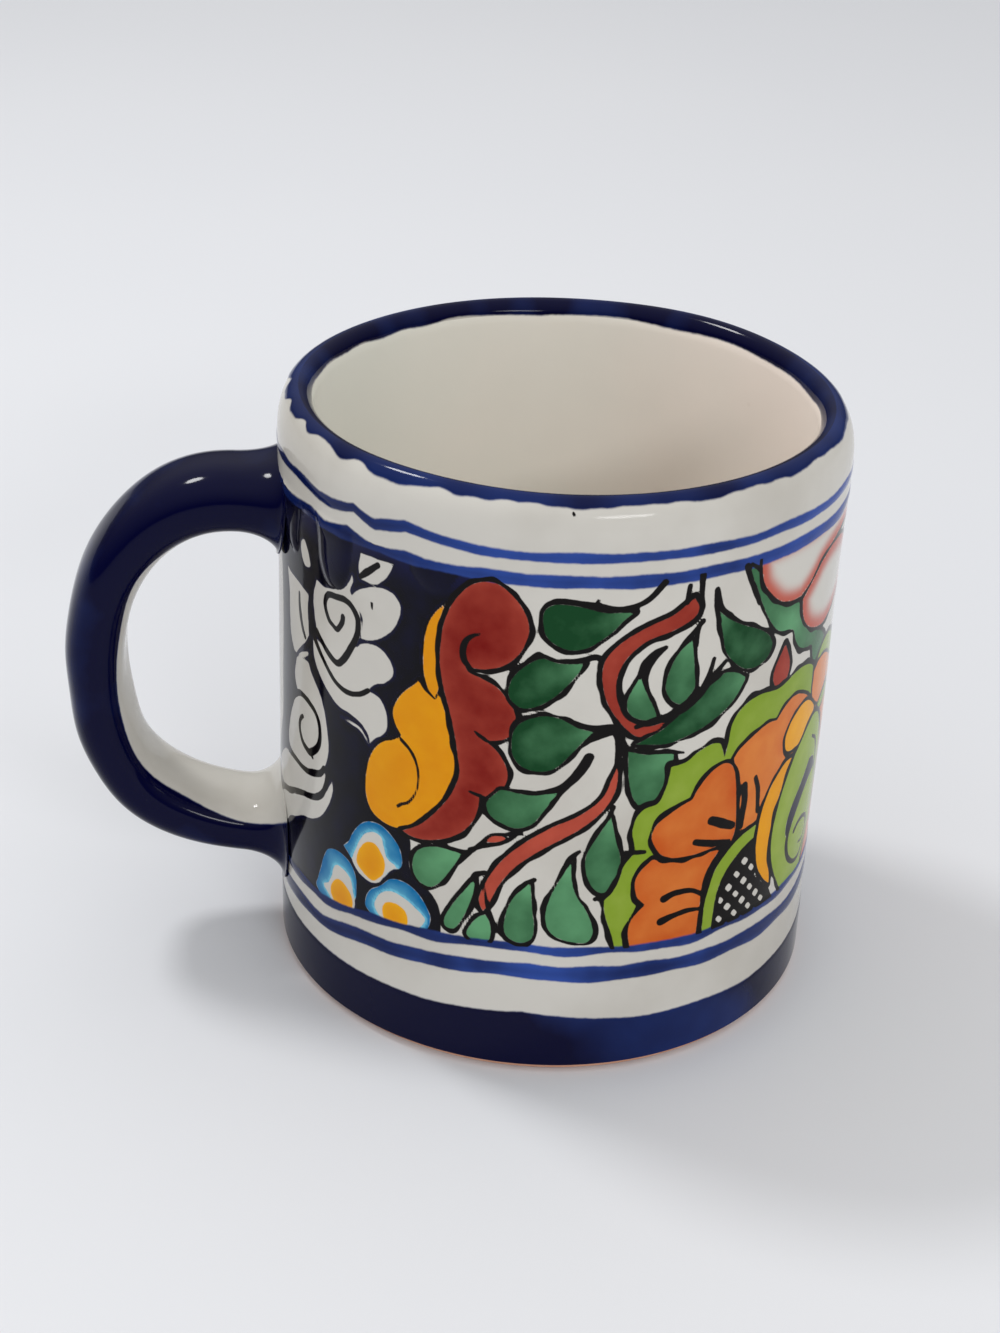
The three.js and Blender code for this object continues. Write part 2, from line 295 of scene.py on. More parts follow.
# What is painted: for each pigment and the ink, how deep a point lies inside it, and how light the colour is
FAR = -9.0
MIDDLE_TONE = 0.5
BRUSH_SWING = 0.22
BRUSH_WAVES = (7, 3.5)
PIGMENTS = ("ground", "red", "amber", "green", "lime", "orange", "turquoise")
paint = {name: np.full(s.shape, FAR) for name in PIGMENTS}
ink = np.full(s.shape, FAR)
tone = np.full(s.shape, MIDDLE_TONE)
blush = np.zeros(s.shape)
relief = np.zeros(s.shape)
brush = 1 + BRUSH_SWING * wander(5, BRUSH_WAVES, s, z)


def place_of(mark):
    return np.array([float(value) for value in mark.rstrip("!").split(",")])


def traced(text, closed=False):
    """A smooth line through the marks of a text such as "40,62 41,60! 43,58". A mark with ! is a corner."""
    marks = [(place_of(mark), mark.endswith("!")) for mark in text.split()]
    if closed:
        corner = next((i for i, mark in enumerate(marks) if mark[1]), None)
        if corner is None:
            ring_marks = [mark[0] for mark in marks]
            return flowing([ring_marks[-1]] + ring_marks + ring_marks[:2])
        marks = marks[corner:] + marks[:corner + 1]
    runs = [[marks[0][0]]]
    for place, is_corner in marks[1:]:
        runs[-1].append(place)
        if is_corner:
            runs.append([place])
    runs = [run for run in runs if len(run) > 1]
    return np.concatenate([flowing([2 * run[0] - run[1]] + run + [2 * run[-1] - run[-2]]) for run in runs])


def flowing(marks):
    """A curve through all marks but the first and last, which only steer it."""
    line = []
    for a, b, c, d in zip(marks, marks[1:], marks[2:], marks[3:]):
        for t in np.arange(BRUSH_CURVE_STEPS) / BRUSH_CURVE_STEPS:
            bend = (2 * a - 5 * b + 4 * c - d) * t * t + (3 * b - 3 * c + d - a) * t ** 3
            line.append(0.5 * (2 * b + (c - a) * t + bend))
    line.append(marks[-2])
    return np.array(line)


def near(line, margin):
    low = line.min(axis=0) - margin
    high = line.max(axis=0) + margin
    return np.nonzero((s > low[0]) & (s < high[0]) & (z > low[1]) & (z < high[1]))[0]


def to_segment(x, y, a, b):
    """Distance from points to a segment, and how far along it the nearest place is."""
    way = b - a
    squared_length = max(way @ way, 1e-9)
    t = np.clip(((x - a[0]) * way[0] + (y - a[1]) * way[1]) / squared_length, 0, 1)
    return np.hypot(x - a[0] - t * way[0], y - a[1] - t * way[1]), t


def depth_inside(line, window):
    """How deep points lie inside a closed line, below zero outside it."""
    x, y = s[window], z[window]
    nearest = np.full(x.shape, np.inf)
    inside = np.zeros(x.shape, dtype=bool)
    for a, b in zip(line, np.roll(line, -1, axis=0)):
        nearest = np.minimum(nearest, to_segment(x, y, a, b)[0])
        if a[1] != b[1]:
            crosses = (a[1] > y) != (b[1] > y)
            inside ^= crosses & (x < a[0] + (y - a[1]) * (b[0] - a[0]) / (b[1] - a[1]))
    return np.where(inside, nearest, -nearest)


def depth_in_stroke(line, widths, window):
    x, y = s[window], z[window]
    sizes = np.interp(np.linspace(0, 1, len(line)), np.linspace(0, 1, len(widths)), widths) / 2
    depth = np.full(x.shape, FAR)
    for a, b, size_a, size_b in zip(line, line[1:], sizes, sizes[1:]):
        distance, t = to_segment(x, y, a, b)
        depth = np.maximum(depth, size_a + (size_b - size_a) * t - distance)
    return depth


# Brushwork: how far round a shape it can reach, and the weight and place of its outlines
MARGIN = 2.5
OUTLINE = 0.8
OUTLINE_OFFSET = 0.78
BRUSH_WEIGHT = 0.88
STROKE_SWING = 0.1
FADE_REACH = 1.5
TONE_OVERLAP = 0.4


def shape(text, margin=MARGIN):
    """The points near a closed line through these marks, and how deep each lies inside it."""
    line = traced(text, closed=True)
    window = near(line, margin)
    return window, depth_inside(line, window)


def cover(pigment, window, depth, outline=0, shade=MIDDLE_TONE, fade=0.0):
    """Lays a pigment over what is there, or white where none is named, with an ink outline.

    The colour is as light as the shade, and lighter by the fade along its edge."""
    for name in PIGMENTS:
        if name != pigment:
            paint[name][window] = np.minimum(paint[name][window], -depth)
    if pigment:
        paint[pigment][window] = np.maximum(paint[pigment][window], depth)
    lightness = shade + fade * np.exp(-np.maximum(depth, 0) / FADE_REACH)
    tone[window] = np.where(depth > -TONE_OVERLAP, lightness, tone[window])
    ink[window] = np.minimum(ink[window], -depth)
    if outline:
        edge = BRUSH_WEIGHT * outline * brush[window] / 2
        ink[window] = np.maximum(ink[window], edge - np.abs(depth + OUTLINE_OFFSET * edge))


def lay(pigment, text, outline=OUTLINE, shade=MIDDLE_TONE, fade=0.0):
    cover(pigment, *shape(text), outline, shade, fade)


def white(text):
    lay(None, text, outline=0)


def draw(text, *widths):
    line = traced(text)
    window = near(line, MARGIN)
    depth = depth_in_stroke(line, BRUSH_WEIGHT * np.array(widths), window)
    ink[window] = np.maximum(ink[window], depth + STROKE_SWING * (brush[window] - 1))


# Leaves are laid in stronger tones than their shade says, and pale at the tip
LEAF_CONTRAST = 1.5
LEAF_DEPTH = 0.4
LEAF_EDGE = 0.3
TIP_PALENESS = 0.6
TIP_REACH = 3.2


def leaf(text, shade=MIDDLE_TONE):
    """A green leaf that pales towards its tip, the last corner named."""
    lay("green", text, shade=LEAF_CONTRAST * shade - LEAF_DEPTH)
    window, depth = shape(text, 0)
    tip = place_of([mark for mark in text.split() if mark.endswith("!")][-1])
    away = np.hypot(s[window] - tip[0], z[window] - tip[1])
    tone[window] += np.where(depth > -LEAF_EDGE, TIP_PALENESS * np.exp(-(away / TIP_REACH) ** 2), 0)


# The dark ground beside the handle, bluer towards the lines above it, and the white scrolls left open in it
GROUND_BLUE = 0.9
BLUE_LOW = 76
BLUE_HIGH = 82.5
lay("ground", "-4,82.2! 53,82.2! 50.6,79.6 47.8,76 46,70 46,60 46,50 44,42 41.8,38.6! 42.2,36 42,33.5 "
    "42.8,31.2 45.6,29.4 47.2,26.5 47.4,22! 40,21.2 30,19.8 20,18.3 8,17.4 -4,17.2! -4,29! 0.5,30.5 3,34 "
    "5.6,38.5 7.6,43 7.4,50 8.2,60 7.6,69 5.5,74 -4,76.5!", outline=0)
tone += GROUND_BLUE * (smoothstep(BLUE_LOW, BLUE_HIGH, z) - 0.5)
white("32.2,79.8! 38.1,79.9! 37.3,78.2 36.2,76.8 34.8,75.9 32.1,75.9! 31.8,77.8")
white("30.4,72.1! 31.2,73.5 32.8,74.6 34.8,75.5 36.6,75.8 38.2,75.5 39.4,74.3 39.5,72.8 38.9,71 37.8,69.4 "
      "36.2,68 34.4,67.1 32.5,66.7! 32.9,69.8 31.8,71.3")
white("22.1,71.8! 24.1,71.5 26.4,72.1 28.5,72.9 29.8,74.4 30.6,76! 30.7,74.9 30.2,73.2 31.4,72 32.3,70.5 "
      "32.6,68.3 32,66.2 30.6,64.5 29.6,62.5 28,60.6 26.5,60.6 24.5,61.8 22.3,63.7! 21.5,66.3 21.2,69")
white("32,65.2! 33,66.1 35.3,66.6 37.1,66 38.4,64.4 38.4,62.8 37.1,61.4 35.3,60.5 34.1,59.2! 32.4,58.2 "
      "30.3,57.4 28.2,57.6 26.3,58.7 24.2,60.3 22.3,62.4! 25,61.8 27.5,60.9 29,61.8 30.3,64.3")
white("34.2,59.1! 36.2,58.7 37.5,56.9 37.8,54.6 37.1,53 35.7,51.9 34.8,50.6! 34.4,51.9 33,53.3 30.7,54 "
      "28,54.2 26,55.1 23.5,56.9 21.6,59.2 21.2,61.9! 23.5,60.5 26,58.5 28,57.5 30.3,57.3 32.5,58")
white("11.4,69.5! 13,69.2 16.2,69 19.7,68.4! 19.4,66.5 19.6,64.2 19.9,61.9! 18.7,60.2 17.1,58.7 15.5,57! "
      "14.4,57.1 13,59.2 12.5,62.4 12.3,66")
white("16.2,57.1! 17.8,58.2 19.9,59.2! 19.5,58.4 18.2,57.5 16.9,56.9")
white("15.5,55.8 16.2,56.7 17.8,57.2 19.8,57.5! 20.5,56.5 21.6,55.5 23.5,53.7 24.8,51 25.6,47.4 25.7,45.5 "
      "25.3,43.7 24.6,42.1 23,40.5 21.2,39.6 18.5,39 14.8,39.2 12.5,39.6 11.9,41.2 12.3,43.3 13,45.5 "
      "14.4,48.3 15.5,50.1 16.4,50.8! 15.5,51.5 14.8,53.3")
white("4.8,32.6! 6.6,34.8 8.6,36.6 10.7,37.9 13.5,38.3 18,38.4 20.7,39 23,40.1 24.8,41.3! 24.9,40 "
      "23.6,37.4 21.6,36 18.9,34.9 16.2,33.7 13.5,32.4 10.7,31.2 8,30.6 6,31")
white("26.5,40.6! 26.7,39.2 26,36.9 24.8,34.6 23,32.6 20.7,31.2 18,30.2 15.3,28.5 12.5,26.9 10.7,25.1 8,23 "
      "5.6,21.6! 5.4,24.6 6.4,27.6 8.6,29.4 12.1,31 14.8,32.4 18,33.8 21.2,34.9 23.8,36.5 25.4,38.6")
white("18.3,76.5 19.5,75.2 20.2,73.2 18.6,72.6 17.5,73.8 17.3,75.5")
white("28.7,52.7! 31,52.8 32.8,52.5 34,51.4 34.6,50.4! 33.8,51.2 32.7,52.1 31,52.4")

# Ink in the scrolls: their spirals, folds and small strokes
draw("32.1,76.2 33.5,77.4 35.4,79", 0.91, 1.3, 1.04)
draw("34.5,73 34.6,72.1", 0.65, 0.45)
draw("28.8,68.7 28.6,67.7 27.5,66.2 26.6,66.4 25.5,66.9 24.6,68.3 24.5,69.6 25.3,70.8 27.1,71.2 29.1,71.5 "
     "30.7,71 31.9,69.6 32,67.8 31.4,66 30.5,64.4 29.8,63.2 28.9,62 27.5,60.9 25.5,61.5 23.5,62.8 "
     "22.2,63.8", 1.17, 0.91, 1.17, 1.17, 1.3, 1.3, 1.04)
draw("21.5,62.4 23.5,60.5 26,58.5 28,57.5 30.3,57.3 32.5,58 34.2,59.2", 1.17, 0.91, 1.04, 0.91)
draw("5.4,75 4.6,69 4.4,63 3.6,57 3.6,50 3.4,44 1.8,38.4", 0.8, 0.5, 0.5, 0.8, 0.6, 0.5, 0.4)
draw("16.5,67.3 16.6,65.5 17.1,63.7 17.8,62.1 18.7,61", 0.78, 1.17, 0.78)
draw("18.1,47.5 17.3,46.7 16.9,45.5 17.2,44.2 18.2,43 19.8,42.5 20.7,42.6 22.1,43.7 23.1,45.1 23.5,46.9 "
     "23.1,49 21.9,50.3 20,51 17.8,51.1 16.2,50.6 14.6,49.4 13.2,47.8 12.1,45.5 11.4,43.3 11.2,41.2", 0.91,
     1.04, 1.43, 1.04, 1.17, 1.43, 1.17)
draw("20.7,42.5 21.4,42", 1.04, 0.65)
draw("11.9,38.5 14.8,38.7 18,38.7 20,39 21.6,39.6 23.5,40.5 24.6,41.9", 1.17, 1.04, 1.43, 1.04)
draw("6.4,28.6 8.4,30 12.1,31.4 14.8,32.8 18,34.2 21.2,35.3 23.5,36.7 24.8,38.7 25.5,41.2", 1.04, 1.3, 1.17,
     1.3, 1.04)


# Eye dots: turquoise that pales towards the white inside it, and amber in the middle
EYE_PALENESS = 0.65
EYE_PALE_REACH = 0.5


def eye(outer, middle, centre):
    lay("turquoise", outer, outline=0, shade=0.3, fade=-0.25)
    white(middle)
    window, depth = shape(middle)
    paler = EYE_PALENESS * np.exp(-np.maximum(-depth, 0) / EYE_PALE_REACH)
    tone[window] += np.where(paint["turquoise"][window] > 0, paler, 0)
    lay("amber", centre, outline=0, shade=0.2, fade=0.8)


eye("29.5,31! 30.7,32.4 31.2,33.7 32.1,35.3 33.5,36.9 35.3,37.7 37.1,37.7 38.9,36.7 40.3,35.1 40.8,33 "
    "40.3,31.7 39,31 37.5,29 35,27.5 32.5,28.5 31,29.8",
    "31.4,29.6 32.1,31.5 32.8,33.3 33.7,34.9 35.3,36 36.9,35.8 37.5,34.2 38.2,32.6 40,31.9! 39.1,31 "
    "38,29.9 36.9,28 35.3,27.2 33.2,27.6 31.9,28.6",
    "32.3,30.1 32.8,31.9 33.9,33.5 35.5,34.2 36.9,33.3 37.8,31.5 37.5,29.6 36.2,28 35,27.6 33.5,28.3 "
    "32.5,29.2")
eye("22.3,20 22.8,21.9 23.7,24.2 24.6,26.5 25.7,28.3 27.5,29.2 29.4,29.2 31,28.5 32.1,26.9 32.3,24.6 "
    "31.9,22.4 30,19.5 26,18.8",
    "24.4,21.5 25.7,22.6 26.6,24.2 27.1,25.8 28,26.7 29.6,26.7 31,25.8 31.6,23.7 31.9,21.5 30.7,19.4 "
    "28,19.2 25.7,20.5",
    "26.2,21.7 26.9,23.3 28.2,24.4 29.8,24.2 31.2,22.8 31.4,21 30.3,19.6 28,19.4 26.6,20.5")
eye("34.4,22.4 34.3,24.2 35.3,26 37.1,27.4 38.5,29 40,29.7 41.9,29.6 43.7,28.5 45,26.7 45.7,24.9 45,22.8 "
    "42.5,21.5 39.8,21.3 37,21.4",
    "36,23.3 36.4,25.1 37.5,26.5 39.4,27.3 41.6,26.9 43.9,25.5 44.8,24.4 43.9,22.8 41.9,22 39.8,21.5 "
    "37.5,21.8",
    "37.4,23.2 38,24.9 39.7,25.5 41.4,24.9 42,23.2 41.4,21.9 39.7,21.4 38,21.8")

# The amber and the red plume
lay("amber", "42.8,63.7! 41.9,62.6 40.5,61.2 39.4,59.6 38.7,57.6 39.1,55.8 40.3,54! 38.9,52.9 37.1,51.9 "
    "35.5,49.9 34.4,47.4 33.9,44.9 33.8,42.4 34.4,40.3 35.7,39 38,38.4 40.3,38.6 42.1,39.4 44.4,41.5 "
    "46.8,44.6 48.5,47.8 49.2,50.5 49,53.3 48.3,56.5 47,59.9 46.2,62.2!", outline=0.5, shade=0.28, fade=0.3)
lay("amber", "46.6,76.5! 45,74.6 43.9,72.4 43.4,69.2 43.4,66 43.7,64.2 44.4,62.6 45.3,61.7! 45.9,63.3 "
    "45.7,66 45.4,68.7 45.4,71.5 45.9,74.2", outline=0.45, shade=0.4)
draw("43,63.8 43.9,62.6 45.2,61.6", 0.6, 0.7, 0.4)
draw("40.3,53.4 41.9,52.1 42.9,50.1 43.2,47.8 42.8,45.5 41.6,43.5 40.5,42.8 39.7,42.1", 0.75, 0.55, 0.45,
     0.5, 0.6)
lay("red", "40.5,38.4! 43,40.1 45,42.1 47.1,44.9 48.5,47.6 49.3,50.5 49,53.3 48.4,56.9 47.5,60.5 46.5,63.7 "
    "45.9,66.9 45.9,70.1 46.3,73.3 47.2,76 48.6,78.3 50.4,80.1 52.9,80.9 54.7,80.3 56.5,78.7 57.9,76.5 "
    "58.4,74.2 57.9,71.9 56.8,69.9 55,68.3 52.7,67.5 50.9,67.4 49.8,67.4! 50.4,66.7 52.2,66.1 54.3,65.1 "
    "55.6,63.7 56.8,61.9 57.2,60.1 56.8,58.3 55.6,57.1 54,56.6 52.9,56.6! 54.5,55.3 55.6,53.7 56.3,51.7 "
    "56.1,49.9 55.2,48.5 53.8,47.6 52.5,47.2! 52.4,45.5 51.8,43.3 50.4,41.2 48.4,39.6 46.1,38.6 43.8,38 "
    "42,38", outline=0.9, shade=0.02, fade=0.55)
draw("50.6,67.2 49.5,68.5 49.3,70.1 49.7,71.5 50.6,72.4 51.6,72.8", 0.8, 1.2, 1.1, 0.8, 0.5)
draw("52.9,56.7 52,57.3 51.4,57.8", 0.8, 0.7, 0.4)
draw("52.7,47.4 51.8,47.6 50.9,47.9", 0.8, 0.6, 0.4)

# Red ribbons
lay("red", "81.1,78.5! 82,76.9 81.6,75.5 80.2,74.6 77.9,73.7 75.2,73 73.4,71.9 71.8,70.1 70.9,67.8 "
    "70.7,65.5 71.1,63.3 72,61.2 73.4,60 75.2,59.3 77.5,59.6 80.5,61! 78.4,58.3 76.1,57.4 74.3,57.6 "
    "72.9,58.5 71.1,60.5 69.5,63.3 68.8,66 68.6,68.3 69,70.5 70.4,72.4 72.5,74 75.2,75.3 77.9,76.2 "
    "79.7,77.4", outline=0.95, shade=0.5)
draw("80,77.8 80.2,80.3", 0.9, 1.0)
draw("82,81.8 82.2,78.7 82.5,76.5 81.5,75.1", 1.3, 0.9, 0.9, 0.7)
lay("red", "71.8,54! 71.7,49.6 70.2,46.3 67,43.2 62.2,40.1 58.5,37 56,33.4 54.5,29.4 53.6,28! 52.9,30.2 "
    "54.2,34.3 56,37.4 58.6,40.3 62.5,43.3 66.7,45.5 69.7,48.2 71,51.6", outline=0.85, shade=0.85)
draw("53.6,32.6 54,30.2 54.6,28 55.4,26 56.6,24.4", 0.4, 0.6, 0.9, 0.9, 0.8)
draw("70.3,59.2 71.4,58.2 71.7,56.3 71.5,53.3", 1.4, 1.9, 1.6, 1.0)

# Green leaves, each with the ink strokes that carry its outline on past the tip
leaf("60.2,77.4 61.5,78.5 63.8,78.6 66.1,78.2 68.4,77.6 71.1,77.5 72.6,77.4! 71.1,76.2 70,74.9 68.4,73.5 "
     "66.3,72.1 64,71.7 62,72.4 60.6,73.7 60.1,75.5", shade=0.25)
draw("60.4,78.4 62,79.1 64.7,79 67.5,78.6 70.2,78 72.9,78.4 74.7,79.4 76.4,81.4", 0.5, 0.9, 0.8, 0.9, 0.9,
     1.0, 1.1, 1.3)
draw("67.2,78.9 67.4,79.5", 0.8, 0.5)
leaf("56.1,65.8 56.5,66.9 57.7,68.5 59.5,69.9 60.6,70.3! 62.5,69.7 64.7,69.7 66.1,69.9! 65.6,68.5 "
     "64.3,66.5 62.5,64.4 60.4,62.8 58.1,62.1 56.5,63 55.9,64.4", shade=0.3)
draw("57.2,68.2 58.6,69.7 59.7,70.7 60.3,70.8", 0.6, 1.0, 1.2, 0.6)
draw("62.5,70.1 65.2,70.2 67.5,70.8 68.4,70.6", 0.5, 0.9, 1.1, 0.8)
leaf("56.5,56.5 56.8,58.7 57.9,60.1 59.7,61 61.5,61.3 63.6,60.8 65.6,59.6 67.9,58.9! 66.5,57.4 64.7,55.1 "
     "62.7,53 60.4,52.4 58.1,53 56.8,54.6", shade=0.3)
draw("64.7,60.6 67.5,59.5 70.2,59.4", 0.6, 1.1, 1.6)
draw("66.2,56.6 67.6,57.7 69.9,58.8", 0.7, 1.0, 1.6)
leaf("53.4,46 53.6,46.9 54.7,48.3 55.6,49 57.9,48.7 60.2,48.6 62.5,49.1 63.6,49.3! 62.7,47.8 61.5,45.8 "
     "60,43.7 57.7,42.8 55.4,43.5 53.9,44.6", shade=0.45)
draw("60.2,49 62,49.3 63.9,50 65.6,51.6 66.8,53.5 67.4,54.9", 0.6, 1.0, 1.4, 1.7, 1.9, 1.7)
draw("62.6,47.4 64,49.2 66.1,51.9", 0.7, 0.7, 0.9)
leaf("42.5,33.7 42.9,35.5 44.3,36.9 46.5,37.6 48.8,37.5 50.2,37.3! 49.5,35.8 48.4,33.7 47,31.5 45.4,30.3 "
     "43.6,30.8 42.7,32.1", shade=0.65)
lay("red", "53.2,39.9! 54.4,41.1 55.9,41.3 56.6,40.8! 55,40.1", outline=0.5, shade=0.95)
draw("48.6,37.9 51.1,37.8 52.9,39.6 54.3,41.2 56.1,41.6 58.6,42.1", 0.7, 0.9, 0.8, 0.6, 0.7, 0.7)
draw("51.3,38.3 53.8,39.4 56.1,40.3 57.7,41.7", 0.8, 0.8, 0.8, 0.8)
draw("49.7,35.6 50.6,36.8 51.3,37.8", 0.7, 0.8, 0.9)
leaf("47.9,24.4 47.9,26 49,28.3 50.6,31 52.3,33.8! 52.2,31.3 51.5,28.3 50.6,26 49.7,24.4 48.8,24",
     shade=0.75)
draw("51.6,33 52.4,34.2 53.7,34.8", 0.8, 1.3, 0.9)
leaf("51.3,23.7 51.8,25.3 52.9,26.9 54,27.6! 54.7,26.5 55,24.6 54.5,23 52.5,22.8", shade=0.7)
leaf("56.8,26.9 57.2,29.2 58.1,31.5 60.2,34.1! 60.5,31.8 60.9,28.7 61.2,26.5 60.9,24.2 59.3,23.3 57.5,24 "
     "56.8,25.3", shade=0.6)
draw("58.6,32.8 59.5,33.8 60.7,34.5", 0.6, 0.9, 0.9)
leaf("62.7,27.4 62.7,29.6 63.4,32.4 64.7,35.6 66,38.4! 66,35.4 66.9,32.1 68.4,29.6 69.5,26.9 69.7,25.1 "
     "68.8,23.6 66.5,23.7 64.3,24.6 63.1,26", shade=0.75)
draw("64.6,36.2 65.6,38.2 66.8,39.4", 0.7, 1.2, 0.8)
leaf("67.7,37.8 68.1,39.6 69.3,41.9 71.1,45! 71.6,42.8 72.2,40.5 73,37.8 72.9,35.1 72,33 70.9,32.1 69.3,33 "
     "68.1,35.3", shade=0.5)
draw("70.7,44.8 71.4,46.5", 0.8, 0.9)
leaf("72.9,55.6! 73.1,53.3 73.4,50.5 74,48 75.2,46.2 76.8,46.2 78.5,48 79.4,50.5 80,52.6 80,54.4! "
     "77.9,54.7 75.6,54.8", shade=0.5)
draw("72.2,56.9 73,55.9 76.5,55 79.3,54.7 81.5,54.2", 1.0, 0.9, 0.7, 0.7, 0.5)
leaf("72.2,63.3 72.5,64.6 73.4,66.5 74,67.5! 74.5,66 75.2,64.2 76.3,61.9 76.6,60.5 75.2,60.2 73.4,60.8 "
     "72.4,61.9", shade=0.55)
draw("73.8,67.4 74.7,69.4 76.1,70.8 77.4,71.5", 1.0, 1.6, 1.5, 0.8)
draw("77,71.2 75.4,69.2 74.7,67 75.1,65.2", 0.7, 0.9, 0.9, 0.6)
leaf("77.7,64.6 77.7,66.5 78.6,69.2 79.7,70.8 81.3,72.1! 81.6,70.1 82,66.9 82.2,64.6 81.5,63.3 80.2,62.1 "
     "78.6,63", shade=0.5)
draw("79,70.4 80.3,72 82,73.7", 0.6, 0.9, 0.9)
draw("81.9,71 82.1,73.7 82.7,74.6", 0.8, 1.0, 1.0)
leaf("73.8,56.5! 76,56.2 78.7,56 81,56.5 84.2,57.5 87.4,59.2 89.6,61.2 90.8,63.3 91,64.1! 89.2,65.3 "
     "87.1,65.8 86,65.1 84.2,64 82.2,62.2 79.6,60 77.6,58.4 75.6,57.4", shade=0.35)
draw("73.8,59.3 76.1,60.1 78.4,60.5 80.6,61.5 82.9,63.2 84.7,65.3 86.9,67.6", 0.9, 1.0, 1.3, 2.0, 1.9, 1.3,
     0.9)
draw("83.2,63.8 84.4,66.5 84.9,68.4", 0.9, 0.9, 0.8)
leaf("85.1,75.8! 86.7,74.4 89.2,72.8 91.9,71.5 94.2,70.1 95.5,68.7 95.9,67.4 94.9,65.8 92.8,65.1 90.5,65.5 "
     "88.3,67.1 86.7,69.2 86,71.9", shade=0.3)
draw("84.6,79 84.7,76.6 85.4,74", 1.1, 1.0, 0.8)
draw("84.8,78.5 85.7,76 87.4,74.5", 1.0, 0.9, 0.8)
leaf("90.1,81.5! 91.7,80.1 92.6,78.3 94.2,76 96.5,74 99.2,73 101.5,72.7 102.4,71.9! 102.8,69.6 104.2,67.4 "
     "106,66 108.7,64.9 110.5,64.2 113,62.3 115,60! 110,58.2! 108.3,60.5 107.4,62.8 105.5,63.3 103.3,64.2 "
     "101.7,66 100.8,68 99.6,68.6! 97.8,69 96,70.1 94.2,72.4 92.8,74.9 91.5,77.8 90.3,80", shade=0.55)
draw("89.3,81.6 90.6,78.6 92.2,75.2", 1.2, 1.0, 0.8)
lay("red", "99.1,66.7! 98,65.1 97.1,63.3 97,61.5 98,60 99.6,59.9 100.8,61.2 100.8,63.3 99.9,65.3",
    outline=0.9, shade=0.5)


# White petals with a red blush along their edges
def petal(text, spread):
    window, depth = shape(text)
    cover(None, window, depth, OUTLINE)
    edge = np.where(depth > 0, np.exp(-(np.maximum(depth, 0) / spread) ** 3), 0)
    blush[window] = np.maximum(blush[window], edge)


petal("91.9,82.5! 92.7,78.4 94.3,76.1 96.6,74.1 99.2,73.2 101.8,73! 104.2,74.4 106,75.7 107.8,77 "
      "111.5,78.1 117,78.8 123,79 129,80.5 134,84!", 1.9)
petal("102.3,72.4! 104.2,73.9 106,75.3 107.8,76.6 111.5,77.6 117,77 122,74.4 124.5,71 122,67.6 117,65.6 "
      "112,64.8 108.7,65.3 106,66.4 104.2,67.8 102.9,69.8", 2.2)
petal("126.5,64.5! 125.8,68.5 127,73 130,76.5 133.5,77.6 137,76.5 140,73 141.2,68.5 140.5,64.5! 133.5,62.5",
      2.2)

# The flower: lime scallops, orange petals, amber bands, an ink net and a lime scroll
lay("lime", "73.4,20! 72.2,25.1 71.3,28.3 71,30.9! 72.2,32.4 73.1,34.6 73.6,36.7 75,38.6! 74.7,40.1 "
    "74.3,41.9 74.7,44.2 75.9,45.8 77.9,46.5 78.8,48.3 79.3,50.1 79.6,52.3! 81.9,52.6 83.7,53.7 86,54.5 "
    "87.6,54.2 88.2,52.8 88.6,51.5! 89,54.2 89.3,56.5 90.5,58.5 92.8,59.9 95.5,60.1 98.3,59.6 100.5,59.9 "
    "103.3,60.5 106,60.3 108.3,59.4 109.9,58! 110,54! 105,50 97,45 90,45 85,42 80,30 78,20!", outline=0.95,
    shade=0.35)
draw("73.6,38.7 76.6,38.5", 0.9, 0.7)
draw("70.9,31.9 69.8,31.2", 0.9, 0.9)
lay("orange", "75.6,20! 74.8,24.6 75.2,26.9 76.3,28.5 77.2,29.4! 75.9,31 75.5,33.7 76.3,35.5 77.9,37.1! "
    "79.6,36.8 82.8,36.1 86.5,36.1 89.6,36! 87.8,33.7 86.7,31 86.4,26.9 86.1,20!", outline=0.9, shade=0.45)
draw("80.3,29.9 81.9,30.5 84.6,30.3 86.4,29.2", 1.5, 1.3, 1.0, 0.9)
draw("79.9,25.9 81.9,26.5 84.2,26.8 86.2,26.5", 1.6, 1.2, 1.0, 0.8)
lay("orange", "90.3,50.8! 91.5,52.1 94.2,53.5 96.9,54.3 99,54! 100.5,55.3 102.4,56.2 104.6,56 107.4,54.6 "
    "110.1,52.6 113.7,50.1! 107.8,46.9 105.1,46 101.5,44.2 98.7,41 97.6,38! 95.1,37.7 92.8,37.8 92.1,42.4 "
    "91.5,46.9", outline=0.8, shade=0.72)
draw("93.2,45.3 93.6,42.4 93.3,38.3", 1.5, 1.5, 1.2)
draw("95.5,45.8 96.4,43.3 96.7,39.6", 1.0, 1.1, 0.9)
lay("orange", "77.8,39.6 77.4,41 78,42.8 79.6,44.2 81.9,45.5 83.5,46.1! 84.4,47.8 86,49.6 88,50.6 "
    "89.6,50.3 90.8,48.7 91.5,46 92,42.4 92.3,38.7 91.7,36.4! 89.2,36.6 85.1,36.4 81.5,36.6 79.2,37.6",
    outline=0.9, shade=0.4)
draw("87.4,41.5 89.2,40.5 91.5,39.2", 1.6, 1.8, 1.5)
draw("87.6,31.8 88.7,33.8 90.3,35.6", 0.7, 0.8, 0.8)
draw("84.9,38.5 87.4,37.6 91,36.5", 1.3, 1.4, 1.2)
lay("lime", "110,58! 112.5,60.4 116,61 119.4,60 121.4,58.3! 124,60.2 128,61.6 133.5,62 139,61.6! 139,50! "
    "118,50! 110,54!", outline=0.85, shade=0.6)
lay("orange", "109.9,57.4! 112,58.4 115.5,58 119,56.3 122.5,53.5 124,50.2! 119,48.5 114.5,48.9 113.7,50.1 "
    "110.3,52.8", outline=0.8, shade=0.9)
